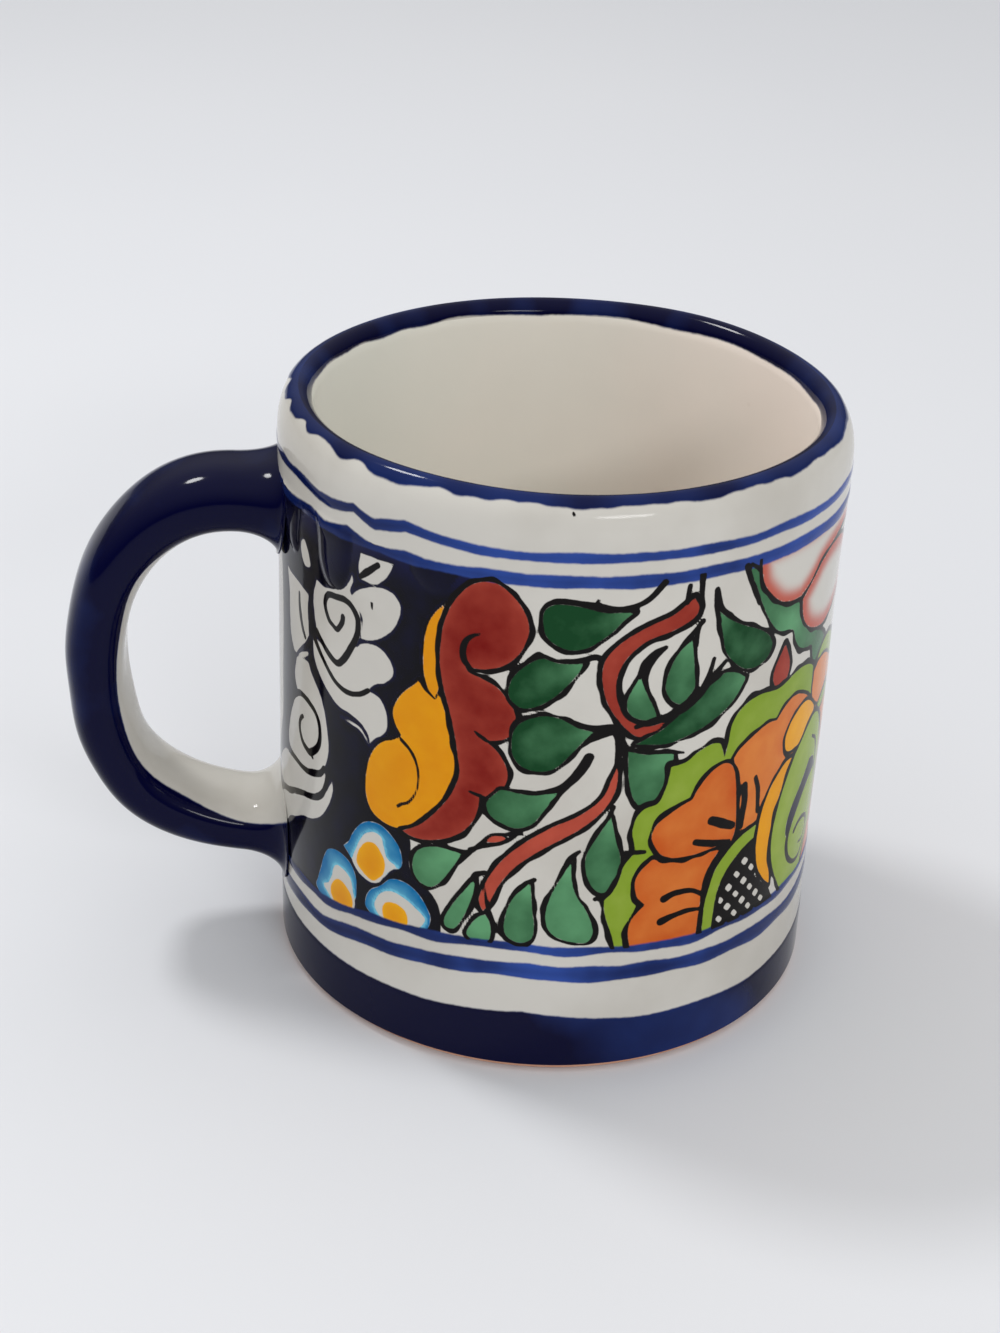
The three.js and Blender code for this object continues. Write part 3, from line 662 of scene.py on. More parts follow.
lay("orange", "124.6,50.2! 125.6,54.5 128.5,57.6 133.5,58.7 138.5,57.6 141,54! 141,46! 128,46",
    outline=0.85, shade=0.55)
lay("lime", "87.2,20! 87.1,26 87.6,29.2 88.7,32.4 90.5,34.6 93.3,36.5 96.9,37.3! 96.9,35.1! 94.6,34.4 "
    "91.9,32.6 90.1,30.1 89.2,26.9 89,20!", outline=0.9, shade=0.45)
lay("amber", "102.1,48.3 102.1,50.1 103.5,52.1 106,53.3 108.3,53.2 110.5,51.9 111.9,50.1 109.6,47.8 "
    "107.4,46.7 105.1,46.5 103,46.9", outline=0.8, shade=0.75)

# The ink net, and the cells in it
NET = "89.2,20! 89.6,27.4 91,30.5 93.7,33.3 96.7,34.6! 97.1,31.5 98.3,28.3 100.5,25.3 103.6,20!"
CELL_FIRST = np.array((93.2, 30.0))
CELL_ALONG = np.array((1.65, -1.8))
CELL_DOWN = np.array((-1.5, -1.7))
CELL_LENGTH = 0.4
CELL_WIDTH = 0.14
CELL_SWING = 0.1
CELL_ROUNDING = 0.27
NET_BORDER = 0.45
NET_OVERLAP = 0.3


def ink_net():
    """An inked field with rows of small white cells left open in it."""
    window, field = shape(NET)
    cover(None, window, field)
    cells = np.full(field.shape, FAR)
    lean = CELL_ALONG / np.linalg.norm(CELL_ALONG)
    for row in range(-1, 4):
        for place in range(-2, 5):
            middle = CELL_FIRST + place * CELL_ALONG + row * CELL_DOWN
            x, y = s[window] - middle[0], z[window] - middle[1]
            along = np.abs(x * lean[0] + y * lean[1]) - CELL_LENGTH
            aside = np.abs(x * lean[1] - y * lean[0]) - CELL_WIDTH - CELL_SWING * ((row + place) % 2)
            outside = np.hypot(np.maximum(along, 0), np.maximum(aside, 0))
            cells = np.maximum(cells, CELL_ROUNDING - outside)
    cells = np.minimum(cells, field - NET_BORDER)
    ink[window] = np.maximum(ink[window], np.minimum(field + NET_OVERLAP, -cells))


ink_net()
lay("amber", "105.8,45.1! 103.3,45.3 101.5,44.4 99.4,42.4 97.8,39.2 97.1,35.5 97,32.4 97.8,29.2 99.6,26.5 "
    "101.9,24.2! 101.5,26.5 100.3,29.6 100.3,33.3 101,36.9 102.4,40.5 104.2,43.3", outline=0.9, shade=0.5)
lay("lime", "112,49! 116,50.6 121,51 126,50 129.8,47.6 132.2,44.4 132.7,41 131.4,37.8! 132.6,35.6 "
    "132.8,32.8 131.6,30! 132.8,27 132.6,24 131.4,20! 112,20!", outline=0.9, shade=0.4)
lay("orange", "116,35.2! 121,34.8 126.5,36 129.6,38.6 130.2,42 128.4,45.4 124.8,47.8 120,48.6 114.6,48!",
    outline=0.8, shade=0.6)
lay("orange", "115,20! 130,20! 131,24.6 130,28.2 127.4,31.4 123.4,33.6 118.6,34.2!", outline=0.8,
    shade=0.45)
draw("119.8,38.4 122.8,39.6 125.8,39.9", 0.9, 1.0, 0.5)
draw("119.6,42.4 122.4,43.6 125,43.8", 0.7, 0.9, 0.5)
draw("119.4,30.4 122.4,29.6 125.2,28.2", 0.9, 1.0, 0.5)
draw("118.6,26.6 121.6,26 124.2,24.8", 0.7, 0.9, 0.5)
lay("lime", "105.9,45.3! 107.8,46.7 109.6,48 111.9,49 114.4,48.4 116.4,46 117.8,42.4 118.4,37.8 118.2,32.4 "
    "117,27 115,22.8 114,20! 106.5,20! 103.3,25.1 101.7,28.3 101,31.5 101.2,35.1 102.4,39.2 104.2,42.8",
    outline=1.0, shade=0.62)
lay("ground", "106.6,29.8! 105.4,31.5 105.6,34 107,36.3 109.5,38.6 112.4,41.3! 114.6,40.6 116.2,38.4! "
    "113.6,37.8 111.2,36.4 109.2,34.4 107.6,32.2", outline=0)
draw("108.9,30.2 110.3,31 112.3,31 114.3,30 115.2,28 114,26.2 112,26.4", 1.1, 1.0, 0.9, 0.8, 0.8, 0.7, 0.5)
draw("106.6,32 106.3,29.5 107,27 108.6,25 110.8,23.7 113.2,23.6 115.2,25.2", 1.2, 1.2, 1.1, 1.0, 0.9, 0.8,
     0.7)
draw("112.6,45 114.8,43.4 116,40.4 116.4,36.6", 0.6, 0.8, 0.7, 0.5)

# On the far side, a slim leaf between the two flowers
leaf("133.5,47! 132.9,44 132.8,40 133,37! 133.5,36!", shade=0.5)

# Thick runs of glaze below the handle's upper joint, each with its outline and its thickness
DRIPS = (("22.3,82.6! 22.8,79 23.2,75.5 24.5,73.2 26.3,72.4 28.2,73.3 29.4,75.5 29.9,78.5 30.4,82.6!", 0.7),
         ("9,82.6! 11,78 12.8,74.5 14.8,73.3 16.2,74.6 16.8,78 17.8,82.6!", 0.5),
         ("40.6,82.4! 41.4,79.8 43.2,78 45.4,77.8 47.2,79.6 48.6,82.4!", 0.3))
DRIP_SHADE = 0.2
DRIP_OVERLAP = 0.15
DRIP_ROUNDING = 1.1
DRIP_TOP = 84
DRIP_FULL = 80
for text, thickness in DRIPS:
    window, depth = shape(text)
    cover("ground", window, depth, shade=DRIP_SHADE)
    rounded = 1 - np.exp(-np.maximum(depth + DRIP_OVERLAP, 0) / DRIP_ROUNDING)
    swell = thickness * rounded * smoothstep(DRIP_TOP, DRIP_FULL, z[window])
    relief[window] = np.maximum(relief[window], swell)

# Cobalt lines, two below the lip and two above the foot, which ran and pooled beside the handle. The heights
# of their edges are given along the wall. The width of a line swings, and its place sways.
STRIPE_TOP = ((0, 85), (8, 85), (17, 85.3), (20.5, 84.9), (23.5, 84.4), (26, 84.3), (31, 85.5), (36, 84.1),
              (40, 85.3), (46, 84.9), (52, 84.6), (134, 84.8))
STRIPE_BOTTOM = ((0, 82), (12, 82), (17, 82.3), (21, 82.8), (25, 82.1), (29, 83.3), (36, 81.9), (40, 82.7),
                 (44, 82.3), (52, 82.8), (134, 82.9))
LOWER_LINE = ((0, 17.3), (24, 18.9), (30, 20), (36, 21), (42, 21.8), (50, 22.5), (60, 22.6), (70, 22.1),
              (80, 21.7), (100, 21.3), (115, 20.8), (134, 21.2))
FOOT_EDGE = ((0, 9.6), (23, 10), (45, 10), (60, 11.3), (70, 10), (78, 9.2), (98, 8.6), (120, 9.3), (134, 9.6))
LINE_WAVES = (17, 9)
HANDLE_REACH = 46
STRIPE_SHIFT = 0.8
BACK_SHIFT = 5
STRIPE_SWAY = 0.08
THIN_LINE = 1.5
THIN_SWING = 0.1
THIN_RUNS = 0.3
WIDE_LINE_BOTTOM = 80.9
WIDE_SWAY = 0.1
LOWER_HALF = 0.75
LOWER_SWING = 0.12
LOWER_SWAY = 0.15
LAST_LINE_DROP = 4.2
LAST_HALF = 1.3
LAST_SWING = 0.15
LAST_SWAY = 0.2
beside_handle = np.exp(-(across / HANDLE_REACH) ** 4)
wobble = [wander(seed, LINE_WAVES, *ring) for seed in range(20, 28)]
back_shift = np.where(around < 0, BACK_SHIFT * np.sin(across * math.pi / HALF_ROUND), 0)
shifted = across + STRIPE_SHIFT * wobble[0] + back_shift
stripe_top = np.interp(shifted, *zip(*STRIPE_TOP)) + STRIPE_SWAY * wobble[1]
stripe_bottom = np.interp(shifted, *zip(*STRIPE_BOTTOM)) + STRIPE_SWAY * wobble[2]
thin_top = stripe_top + THIN_LINE + (THIN_SWING + THIN_RUNS * beside_handle) * wobble[3]
lines = np.minimum(up - stripe_top, thin_top - up)
lines = np.maximum(lines, np.minimum(up - WIDE_LINE_BOTTOM - WIDE_SWAY * wobble[4], stripe_bottom - up))
middle = np.interp(across, *zip(*LOWER_LINE))
lower_half = LOWER_HALF + LOWER_SWING * wobble[4]
lines = np.maximum(lines, lower_half - np.abs(up - middle + LOWER_SWAY * wobble[5]))
last_half = LAST_HALF + LAST_SWING * wobble[6]
lines = np.maximum(lines, last_half - np.abs(up - middle + LAST_LINE_DROP + LAST_SWAY * wobble[7]))
lines = np.where(on_wall, lines, FAR)

# The painting stops at the lines, and below the lip there is one pinhole
PAINT_UNDER_LINE = -0.25
PAINT_TOP = 82
BLUSH_END = 0.3
PINHOLE = "63.6,91.5 63.75,91.3"
PINHOLE_WIDTH = 0.5
painted_field = np.minimum(up - middle + PAINT_UNDER_LINE, PAINT_TOP - up)[on_wall]
for name in PIGMENTS:
    paint[name] = np.minimum(paint[name], painted_field)
ink = np.minimum(ink, painted_field)
blush = np.minimum(blush, smoothstep(-BLUSH_END, BLUSH_END, painted_field))
draw(PINHOLE, PINHOLE_WIDTH, PINHOLE_WIDTH)

# The cobalt of the foot and of the rim, whose outer edge is torn beside the handle
FOOT_WAVES = (40, 18)
FOOT_SWAY = 0.16
LIP_ZONE = 84
OUTER_LIP_RADIUS = 4.2
OUTER_SWAY = 0.04
OUTER_RUNS = 0.08
TORN_WAVES = (7.5, 4)
TORN_SWAY = 0.02
TORN_RUNS = 0.09
INNER_LIP_RADIUS = 2.9
INNER_WAVES = (24, 11)
INNER_SWAY = 0.07
foot_edge = np.interp(across, *zip(*FOOT_EDGE)) + FOOT_SWAY * wander(28, FOOT_WAVES, *ring)
band = np.where(on_wall, foot_edge - up, FAR)
below_lip = height - HEIGHT
turn_outer = np.arctan2((below_lip + LIP_OUTER_DROP) / LIP_OUTER_DROP, (radius - CROWN) / LIP_INSET)
turn_inner = np.arctan2((below_lip + LIP_INNER_DROP) / LIP_INNER_DROP, (CROWN - radius) / (CROWN - BORE))
near_lip = up > LIP_ZONE
torn = (TORN_SWAY + TORN_RUNS * beside_handle) * wander(30, TORN_WAVES, *ring)
outer_sway = (OUTER_SWAY + OUTER_RUNS * beside_handle) * wobble[3] + torn
outer_edge = (turn_outer - RIM_OUTER_TURN + outer_sway) * OUTER_LIP_RADIUS
inner_edge = (turn_inner - RIM_INNER_TURN + INNER_SWAY * wander(29, INNER_WAVES, *ring)) * INNER_LIP_RADIUS
band = np.maximum(band, np.where(near_lip, np.where(on_outside, outer_edge, inner_edge), FAR))
cobalt = np.maximum(lines, band)

# How deep the cobalt pooled: nearly black where it is 1, and shallower, so paler, in a broad patch on the
# foot
RIM_POOL = 0.8
RIM_POOL_SWING = 0.05
INNER_POOL = 0.16
FOOT_POOL = 1.1
FOOT_PALER_PATCH = 0.34
PALER_PATCH_PLACE = 90
PALER_PATCH_REACH = 17
LINE_POOL = 0.34
LINE_MIDDLE_POOL = 0.14
RUN_POOL = 0.45
BAND_EDGE = (-0.6, 0.3)
LINE_EDGE = (0.1, 1.3)
rim_depth = RIM_POOL + RIM_POOL_SWING * wobble[5] + np.where(on_outside, 0, INNER_POOL)
foot_depth = FOOT_POOL - FOOT_PALER_PATCH * np.exp(-((across + up - PALER_PATCH_PLACE) / PALER_PATCH_REACH) ** 4)
pool = smoothstep(*BAND_EDGE, band) * np.where(near_lip, rim_depth, foot_depth)
line_depth = LINE_POOL + LINE_MIDDLE_POOL * smoothstep(*LINE_EDGE, lines) + RUN_POOL * beside_handle
pool = np.maximum(pool, line_depth)

# Thickness of the glaze, and the slight unevenness of a cup made by hand
COBALT_RELIEF = 0.1
COBALT_EDGE = (-0.25, 0.7)
UNEVENNESS = 0.12
UNEVEN_WAVES = (60, 28)
EVEN_FOOT = 30
EVEN_FLOOR = 10
BULGE = 0.3
BULGE_PLACE = (30, 24)
BULGE_REACH = (26, 24)
LIP_WAVE = 0.09
LIP_WAVES = (70, 40)
LIP_WAVE_RISE = (50, 93)
full_relief = np.zeros(points.shape[0])
full_relief[on_wall] = relief
full_relief += COBALT_RELIEF * smoothstep(*COBALT_EDGE, cobalt)
uneven = UNEVENNESS * wander(6, UNEVEN_WAVES, *ring, up) * smoothstep(0, EVEN_FOOT, up)
bulge_across = (across - BULGE_PLACE[0]) / BULGE_REACH[0]
bulge_up = (up - BULGE_PLACE[1]) / BULGE_REACH[1]
bulge = BULGE * np.exp(-bulge_across ** 2 - bulge_up ** 2)
lip_wave = LIP_WAVE * wander(7, LIP_WAVES, *ring) * smoothstep(*LIP_WAVE_RISE, up)
normals = normals_of(skin)
outwards = points * (1, 1, 0) / np.maximum(radius, MM)[:, None]
points = points + normals * full_relief[:, None] * MM
sideways = (uneven + bulge) * smoothstep(0, EVEN_FLOOR, radius / MM)
points = points + outwards * sideways[:, None] * MM
points[:, 2] += lip_wave * MM
move_points(skin, points)


def on_whole_skin(values, elsewhere):
    whole = np.full(points.shape[0], float(elsewhere))
    whole[on_wall] = values
    return whole


for name in PIGMENTS:
    keep_depth(skin, name, on_whole_skin(paint[name], FAR))
keep_depth(skin, "ink", on_whole_skin(ink, FAR))
keep_depth(skin, "tone", on_whole_skin(tone, MIDDLE_TONE))
keep_depth(skin, "blush", on_whole_skin(blush, 0))
keep_depth(skin, "cobalt", cobalt)
keep_attribute(skin, "pool", pool)


# The skin is parted where one coat ends and the next begins, and the painted wall into panels
LINER, RIM, FOOT, FIRST_PANEL = range(4)


def part_skin():
    corners, starts = face_corners(skin)
    first = corners[starts]
    opposite = corners[starts + 2]
    face_up = (height[first] + height[opposite]) / 2
    face_out = (radius[first] + radius[opposite]) / 2
    face_x = (np.cos(around[first]) + np.cos(around[opposite])) / 2
    face_y = (np.sin(around[first]) + np.sin(around[opposite])) / 2
    face_turn = np.arctan2(face_y, face_x)
    outside = face_out > CROWN
    kinds = np.full(len(starts), -1)
    rim_low = np.where(outside, lip_outer(RIM_OUTER_TURN)[1], lip_inner(RIM_INNER_TURN)[1])
    kinds[~outside] = LINER
    kinds[face_up > rim_low] = RIM
    kinds[outside & (face_up < FOOT_GLAZE_TOP)] = FOOT
    step = math.pi / PANELS_PER_HALF
    panel = np.clip(np.floor(np.abs(face_turn) / step), 0, PANELS_PER_HALF - 1).astype(int)
    panel = FIRST_PANEL + panel + np.where(face_turn < 0, PANELS_PER_HALF, 0)
    return np.where(kinds < 0, panel, kinds)


SIDES = ("front", "back")
THEMES = ("scrolls", "plumes", "leaves", "flower")
WALL_PIECES = [f"wall_{theme}_{side}" for side in SIDES for theme in THEMES]
SKIN_PIECES = ["liner_coat", "rim_coat", "foot_coat"] + WALL_PIECES
skin.data.materials.clear()
for name in SKIN_PIECES:
    skin.data.materials.append(bpy.data.materials.new(name))
skin.data.polygons.foreach_set("material_index", part_skin().astype(np.int32))
pick(skin)
bpy.ops.object.mode_set(mode="EDIT")
bpy.ops.mesh.separate(type="MATERIAL")
bpy.ops.object.mode_set(mode="OBJECT")
coats = {}
for piece in bpy.context.selected_objects:
    first_face = piece.data.polygons[0]
    coats[piece.data.materials[first_face.material_index].name] = piece
for name, piece in coats.items():
    piece.name = name
    piece.data.name = name
    outer_faces = len(piece.data.polygons)
    apply_modifier(piece, "SOLIDIFY", thickness=COAT, offset=-1, use_even_offset=True)
    place = points_of(piece)
    turns = np.arctan2(-place[:, 1], -place[:, 0]) / FULL_TURN
    drawn_in = np.hypot(place[:, 0], place[:, 1])
    path = place[:, 2] if name.startswith(("wall", "foot")) else place[:, 2] + drawn_in
    if name == "rim_coat":
        path = drawn_in
    bake_map(piece, outer_faces, turns, path, 1)
    smooth(piece)

# The handle: a strap drawn along its line, with both ends spread out where they are luted to the wall
HANDLE_WIDTH = 16.5
HANDLE_DEPTH = 9.2
HANDLE_SQUARENESS = 2.6
HANDLE_STANDOFF = 28
HANDLE_UPPER_DROP = 19.1
HANDLE_LOWER_HEIGHT = 19.6
HANDLE_SWELL_RISE = 3
HANDLE_RISE = math.radians(23.7)
UPPER_PULL = 20.8
SHOULDER_PULL = 15.6
HEEL_PULL = 15
LOWER_PULL = 27.6
FLARE = 6.5
UPPER_SPREAD = (3.4, 2.6, 1.3)
LOWER_SPREAD = (4.2, 3.0, 6.4)
SHOULDER_SWELL = 0.9
SHOULDER_FULL = 8
SHOULDER_END = 34
HANDLE_LUMPS = 0.16
LUMP_WAVES = (26, 13)
LINE_POINTS = 1200
END_SEARCH = 30
END_TRIALS = 600
END_TURNS = 181
END_SINK = 0.25
END_EASE = 0.94
HANDLE_CREASE = 60

# The bare white on the handle's inner face: its half width in degrees, and how uneven its edge is
WHITE_TURN = 45
WHITE_SWAY = 6
WHITE_WAVES = (16, 7)
EDGES_APART = 9
LOW_END_MORE = 14
LOW_END_START = 24
LOW_END_FULL = 6
SECTION_RADIUS = 6.2
WORN_BEND = 0.1
WORN_REACH = 0.26
COAT_EDGE = (-0.6, 0.4)


def handle_line():
    """Points of the handle's centre line in the plane of the loop, and distances along it, in millimetres."""
    root = (RADIUS - WALL / 2) / MM
    upper = np.array((-root, HEIGHT / MM - HANDLE_UPPER_DROP))
    lower = np.array((-root, HANDLE_LOWER_HEIGHT))
    far = np.array((-RADIUS / MM - HANDLE_STANDOFF, (upper[1] + lower[1]) / 2 + HANDLE_SWELL_RISE))
    rise = np.array((-math.cos(HANDLE_RISE), math.sin(HANDLE_RISE))) * UPPER_PULL
    outward_bend = (upper, upper + rise, far + (0, SHOULDER_PULL), far)
    back_bend = (far, far - (0, HEEL_PULL), lower - (LOWER_PULL, 0), lower)
    t = np.linspace(0, 1, LINE_POINTS)[:, None]
    bends = []
    for a, b, c, d in (outward_bend, back_bend):
        bends.append(a * (1 - t) ** 3 + 3 * b * t * (1 - t) ** 2 + 3 * c * t * t * (1 - t) + d * t ** 3)
    line = np.concatenate([bends[0], bends[1][1:]])
    length = np.concatenate([[0], np.cumsum(np.linalg.norm(np.diff(line, axis=0), axis=1))])
    return line, length


def handle_surface(distance, turn, line, length):
    """Points at distances along the handle's line and turns of its section. A quarter turn is the outside."""
    ways = np.gradient(line, length, axis=0)
    centre = np.stack([np.interp(distance, length, line[:, i]) for i in (0, 1)])
    way = np.stack([np.interp(distance, length, ways[:, i]) for i in (0, 1)])
    way /= np.linalg.norm(way, axis=0)
    power = 2 / HANDLE_SQUARENESS
    side = np.sign(np.cos(turn)) * np.abs(np.cos(turn)) ** power
    out = np.sign(np.sin(turn)) * np.abs(np.sin(turn)) ** power

    def at(extra):
        reach = (HANDLE_DEPTH / 2 + extra) * out
        aside = -(HANDLE_WIDTH / 2 + extra) * side
        return np.stack([centre[0] + way[1] * reach, aside, centre[1] - way[0] * reach])

    bare = at(0)
    from_wall = np.hypot(bare[0], bare[1]) - RADIUS / MM
    left = 1 - np.clip(from_wall / FLARE, 0, 1)
    upper_half = distance < length[-1] / 2
    outer, edge, inner = (np.where(upper_half, a, b) for a, b in zip(UPPER_SPREAD, LOWER_SPREAD))
    towards = np.where(np.sin(turn) > 0, outer, inner)
    spread = edge + (towards - edge) * np.sin(turn) ** 2
    fillet = spread * (1 - np.sqrt(np.maximum(1 - left * left, 0)))
    lumps = HANDLE_LUMPS * wander(8, LUMP_WAVES, *bare) * (1 - left)
    shoulder = smoothstep(SHOULDER_END, SHOULDER_FULL, distance) * np.maximum(np.sin(turn), 0) ** 2
    return at(fillet + lumps + SHOULDER_SWELL * shoulder), from_wall


def make_handle():
    deselect()
    bpy.ops.mesh.primitive_circle_add(vertices=HANDLE_COLUMNS, radius=1, fill_type="NOTHING")
    piece = start_piece("handle_coat")
    select_whole()
    for _ in range(HANDLE_ROWS):
        bpy.ops.mesh.extrude_region_move(TRANSFORM_OT_translate={"value": (0, 0, 1)})
    bpy.ops.object.mode_set(mode="OBJECT")
    tube = points_of(piece)
    turn = np.arctan2(tube[:, 1], tube[:, 0])
    along = tube[:, 2] / HANDLE_ROWS
    line, length = handle_line()
    ends = []
    trial = np.linspace(0, END_SEARCH, END_TRIALS)
    turns = np.linspace(-math.pi, math.pi, END_TURNS)
    for start, sign in ((0, 1), (length[-1], -1)):
        meets = []
        for angle in turns:
            from_wall = handle_surface(start + sign * trial, np.full(trial.shape, angle), line, length)[1]
            meets.append(trial[np.argmax(from_wall > -END_SINK)])
        ends.append(start + sign * np.interp(turn, turns, meets))
    eased = along - END_EASE * np.sin(FULL_TURN * along) / FULL_TURN
    distance = ends[0] + (ends[1] - ends[0]) * eased
    place = handle_surface(distance, turn, line, length)[0]
    move_points(piece, place.T * MM)
    tube_faces = len(piece.data.polygons)
    off_inner = np.abs((turn + QUARTER + math.pi) % FULL_TURN - math.pi)
    sway = WHITE_SWAY * wander(9, WHITE_WAVES, distance, np.sign(np.cos(turn)) * EDGES_APART)
    low_end = smoothstep(LOW_END_START, LOW_END_FULL, length[-1] - distance)
    edge = np.radians(WHITE_TURN + sway + LOW_END_MORE * low_end)
    depth = (off_inner - edge) * SECTION_RADIUS
    keep_depth(piece, "cobalt", depth)
    outer_bend = np.maximum(np.sin(turn), 0) * np.exp(-((distance / length[-1] - 0.5) / WORN_REACH) ** 2)
    keep_attribute(piece, "pool", smoothstep(*COAT_EDGE, depth) * (1 - WORN_BEND * outer_bend))
    bpy.ops.object.mode_set(mode="EDIT")
    select_whole()
    bpy.ops.mesh.fill_holes(sides=0)
    select_whole()
    bpy.ops.mesh.normals_make_consistent(inside=False)
    bpy.ops.object.mode_set(mode="OBJECT")
    bake_map(piece, tube_faces, turn / FULL_TURN, distance, 1)
    smooth(piece, HANDLE_CREASE)
    return piece


handle = make_handle()


# The clay body: bare at the foot, with a shallow recess inside the foot ring
def under_coat(curve, start, end, side):
    """Stops one coat's thickness inside a curve of the glazed skin."""
    stops = []
    for turn in evenly(start, end, CLAY_CURVE_STEP)[1:]:
        r, level = curve(turn)
        stops.append((r + side * COAT * math.cos(turn), level - COAT * math.sin(turn)))
    return stops


def clay_stops():
    clay = RADIUS - COAT
    ring_outer = clay - FOOT_BEVEL
    ring_inner = ring_outer - FOOT_RING
    corner = FOOT_SOFTNESS * 0.4
    recess_end = ring_inner - FOOT_RECESS - FOOT_SOFTNESS
    stops = [(0, FOOT_RECESS)]
    stops += [(r, FOOT_RECESS) for r in evenly(CLAY_BASE_RING, recess_end, CLAY_BASE_RING)]
    stops += [(ring_inner - FOOT_RECESS, FOOT_RECESS * 0.9), (ring_inner - corner, FOOT_RECESS * 0.25)]
    stops += [(ring_inner + corner, 0), (ring_outer - FOOT_SOFTNESS, 0)]
    for turn in evenly(0, QUARTER, CLAY_BEVEL_STEP):
        stops.append((ring_outer + FOOT_BEVEL * math.sin(turn), FOOT_BEVEL * (1 - math.cos(turn))))
    stops += [(clay, z) for z in evenly(FOOT_BEVEL, HEIGHT - LIP_OUTER_DROP, CLAY_WALL_ROW)[1:]]
    stops += under_coat(lip_outer, 0, QUARTER, -1)
    stops += under_coat(lip_inner, QUARTER, 0, 1)
    bore_rows = evenly(HEIGHT - LIP_INNER_DROP, FLOOR_TOP + FLOOR_CORNER, CLAY_BORE_ROW)
    stops += [(BORE + COAT, z) for z in bore_rows[1:]]
    stops += under_coat(floor_corner, 0, QUARTER, 1)
    stops.append((0, FLOOR_TOP - COAT))
    return stops


clay_body = turned("clay_foot_and_wall", clay_stops(), CLAY_COLUMNS)
smooth(clay_body)


# Materials
def srgb(red, green, blue):
    def linear(value):
        value /= 255
        return value / 12.92 if value <= 0.04045 else ((value + 0.055) / 1.055) ** 2.4
    return (linear(red), linear(green), linear(blue), 1.0)


RANGE_SOCKETS = ("Value", "From Min", "From Max", "To Min", "To Max")


class Finish:
    """A material's nodes, with short calls for the ones that the finishes here are made of."""

    def __init__(self, name):
        self.material = bpy.data.materials.new(name)
        self.material.use_nodes = True
        self.tree = self.material.node_tree
        self.shader = self.tree.nodes["Principled BSDF"]
        self.place = self.add("ShaderNodeTexCoord").outputs["Object"]

    def add(self, kind, **settings):
        node = self.tree.nodes.new(kind)
        for key, value in settings.items():
            setattr(node, key, value)
        return node

    def join(self, source, socket):
        if isinstance(source, bpy.types.NodeSocket):
            self.tree.links.new(source, socket)
        else:
            socket.default_value = source

    def math(self, operation, first, second=0.0, clamp=False):
        node = self.add("ShaderNodeMath", operation=operation, use_clamp=clamp)
        self.join(first, node.inputs[0])
        self.join(second, node.inputs[1])
        return node.outputs[0]

    def plus(self, first, second, clamp=False):
        return self.math("ADD", first, second, clamp)

    def times(self, first, second):
        return self.math("MULTIPLY", first, second)

    def texture(self, kind, values, **settings):
        """A texture on the piece's own coordinates, with these values on its sockets."""
        node = self.add(kind, **settings)
        self.join(self.place, node.inputs["Vector"])
        for socket, value in values.items():
            node.inputs[socket].default_value = value
        return node

    def noise(self, scale, detail):
        return self.texture("ShaderNodeTexNoise", {"Scale": scale, "Detail": detail}).outputs["Fac"]

    def ease(self, value, low, high, to_low=0.0, to_high=1.0):
        node = self.add("ShaderNodeMapRange", interpolation_type="SMOOTHSTEP")
        for socket, amount in zip(RANGE_SOCKETS, (value, low, high, to_low, to_high)):
            self.join(amount, node.inputs[socket])
        return node.outputs["Result"]

    def mix(self, factor, first, second):
        node = self.add("ShaderNodeMix", data_type="RGBA")
        self.join(factor, node.inputs["Factor"])
        self.join(first, node.inputs["A"])
        self.join(second, node.inputs["B"])
        return node.outputs["Result"]

    def attribute(self, name):
        return self.add("ShaderNodeAttribute", attribute_name=name).outputs["Fac"]

    def bump(self, relief_value, strength, distance):
        node = self.add("ShaderNodeBump")
        self.join(strength, node.inputs["Strength"])
        self.join(distance, node.inputs["Distance"])
        self.join(relief_value, node.inputs["Height"])
        self.join(node.outputs["Normal"], self.shader.inputs["Normal"])

    def surface(self, colour, roughness):
        self.join(colour, self.shader.inputs["Base Color"])
        self.shader.inputs["Roughness"].default_value = roughness

    def from_middle(self, scale, detail):
        return self.math("SUBTRACT", self.noise(scale, detail), 0.5)

    def axes(self):
        node = self.add("ShaderNodeSeparateXYZ")
        self.join(self.place, node.inputs[0])
        return node.outputs


WHITE_GLAZE = srgb(199, 196, 189)
WHITE_SHADE = srgb(185, 181, 173)
# Painted light inside the cup: a white lighter than the outer glaze, a warm painted light on the right and a
# grey painted shade on the left
PAINTED_WARM_LIGHT = srgb(248, 231, 221)
PAINTED_GREY_SHADE = srgb(212, 215, 206)
INSIDE_PAINTED_LIGHTER = srgb(238, 231, 221)
SPECK = srgb(120, 96, 78)
INK = srgb(9, 6, 6)
COBALT_DEEP = srgb(2, 3, 40)
COBALT_THIN = srgb(44, 74, 154)
COLOURS = {
    "ground": (srgb(8, 7, 15), srgb(16, 18, 60)),
    "red": (srgb(112, 6, 1), srgb(180, 78, 60)),
    "amber": (srgb(208, 124, 0), srgb(228, 164, 16)),
    "green": (srgb(9, 60, 28), srgb(92, 150, 106)),
    "lime": (srgb(112, 141, 14), srgb(150, 170, 74)),
    "orange": (srgb(180, 64, 4), srgb(212, 128, 58)),
    "turquoise": (srgb(0, 102, 156), srgb(112, 190, 212)),
}
CLAY_PALE = srgb(204, 150, 122)
CLAY_DARK = srgb(178, 118, 92)
CLAY_GRIT = srgb(120, 84, 66)
CLAY_RING = srgb(150, 98, 76)
CLAY_RUBBED = srgb(222, 176, 150)
# Painted shade for the corner of the recess under the foot
CLAY_CORNER_SHADE = srgb(112, 70, 54)
FLOOR_PALE = srgb(214, 216, 221)
FLOOR_PALER = srgb(222, 223, 226)

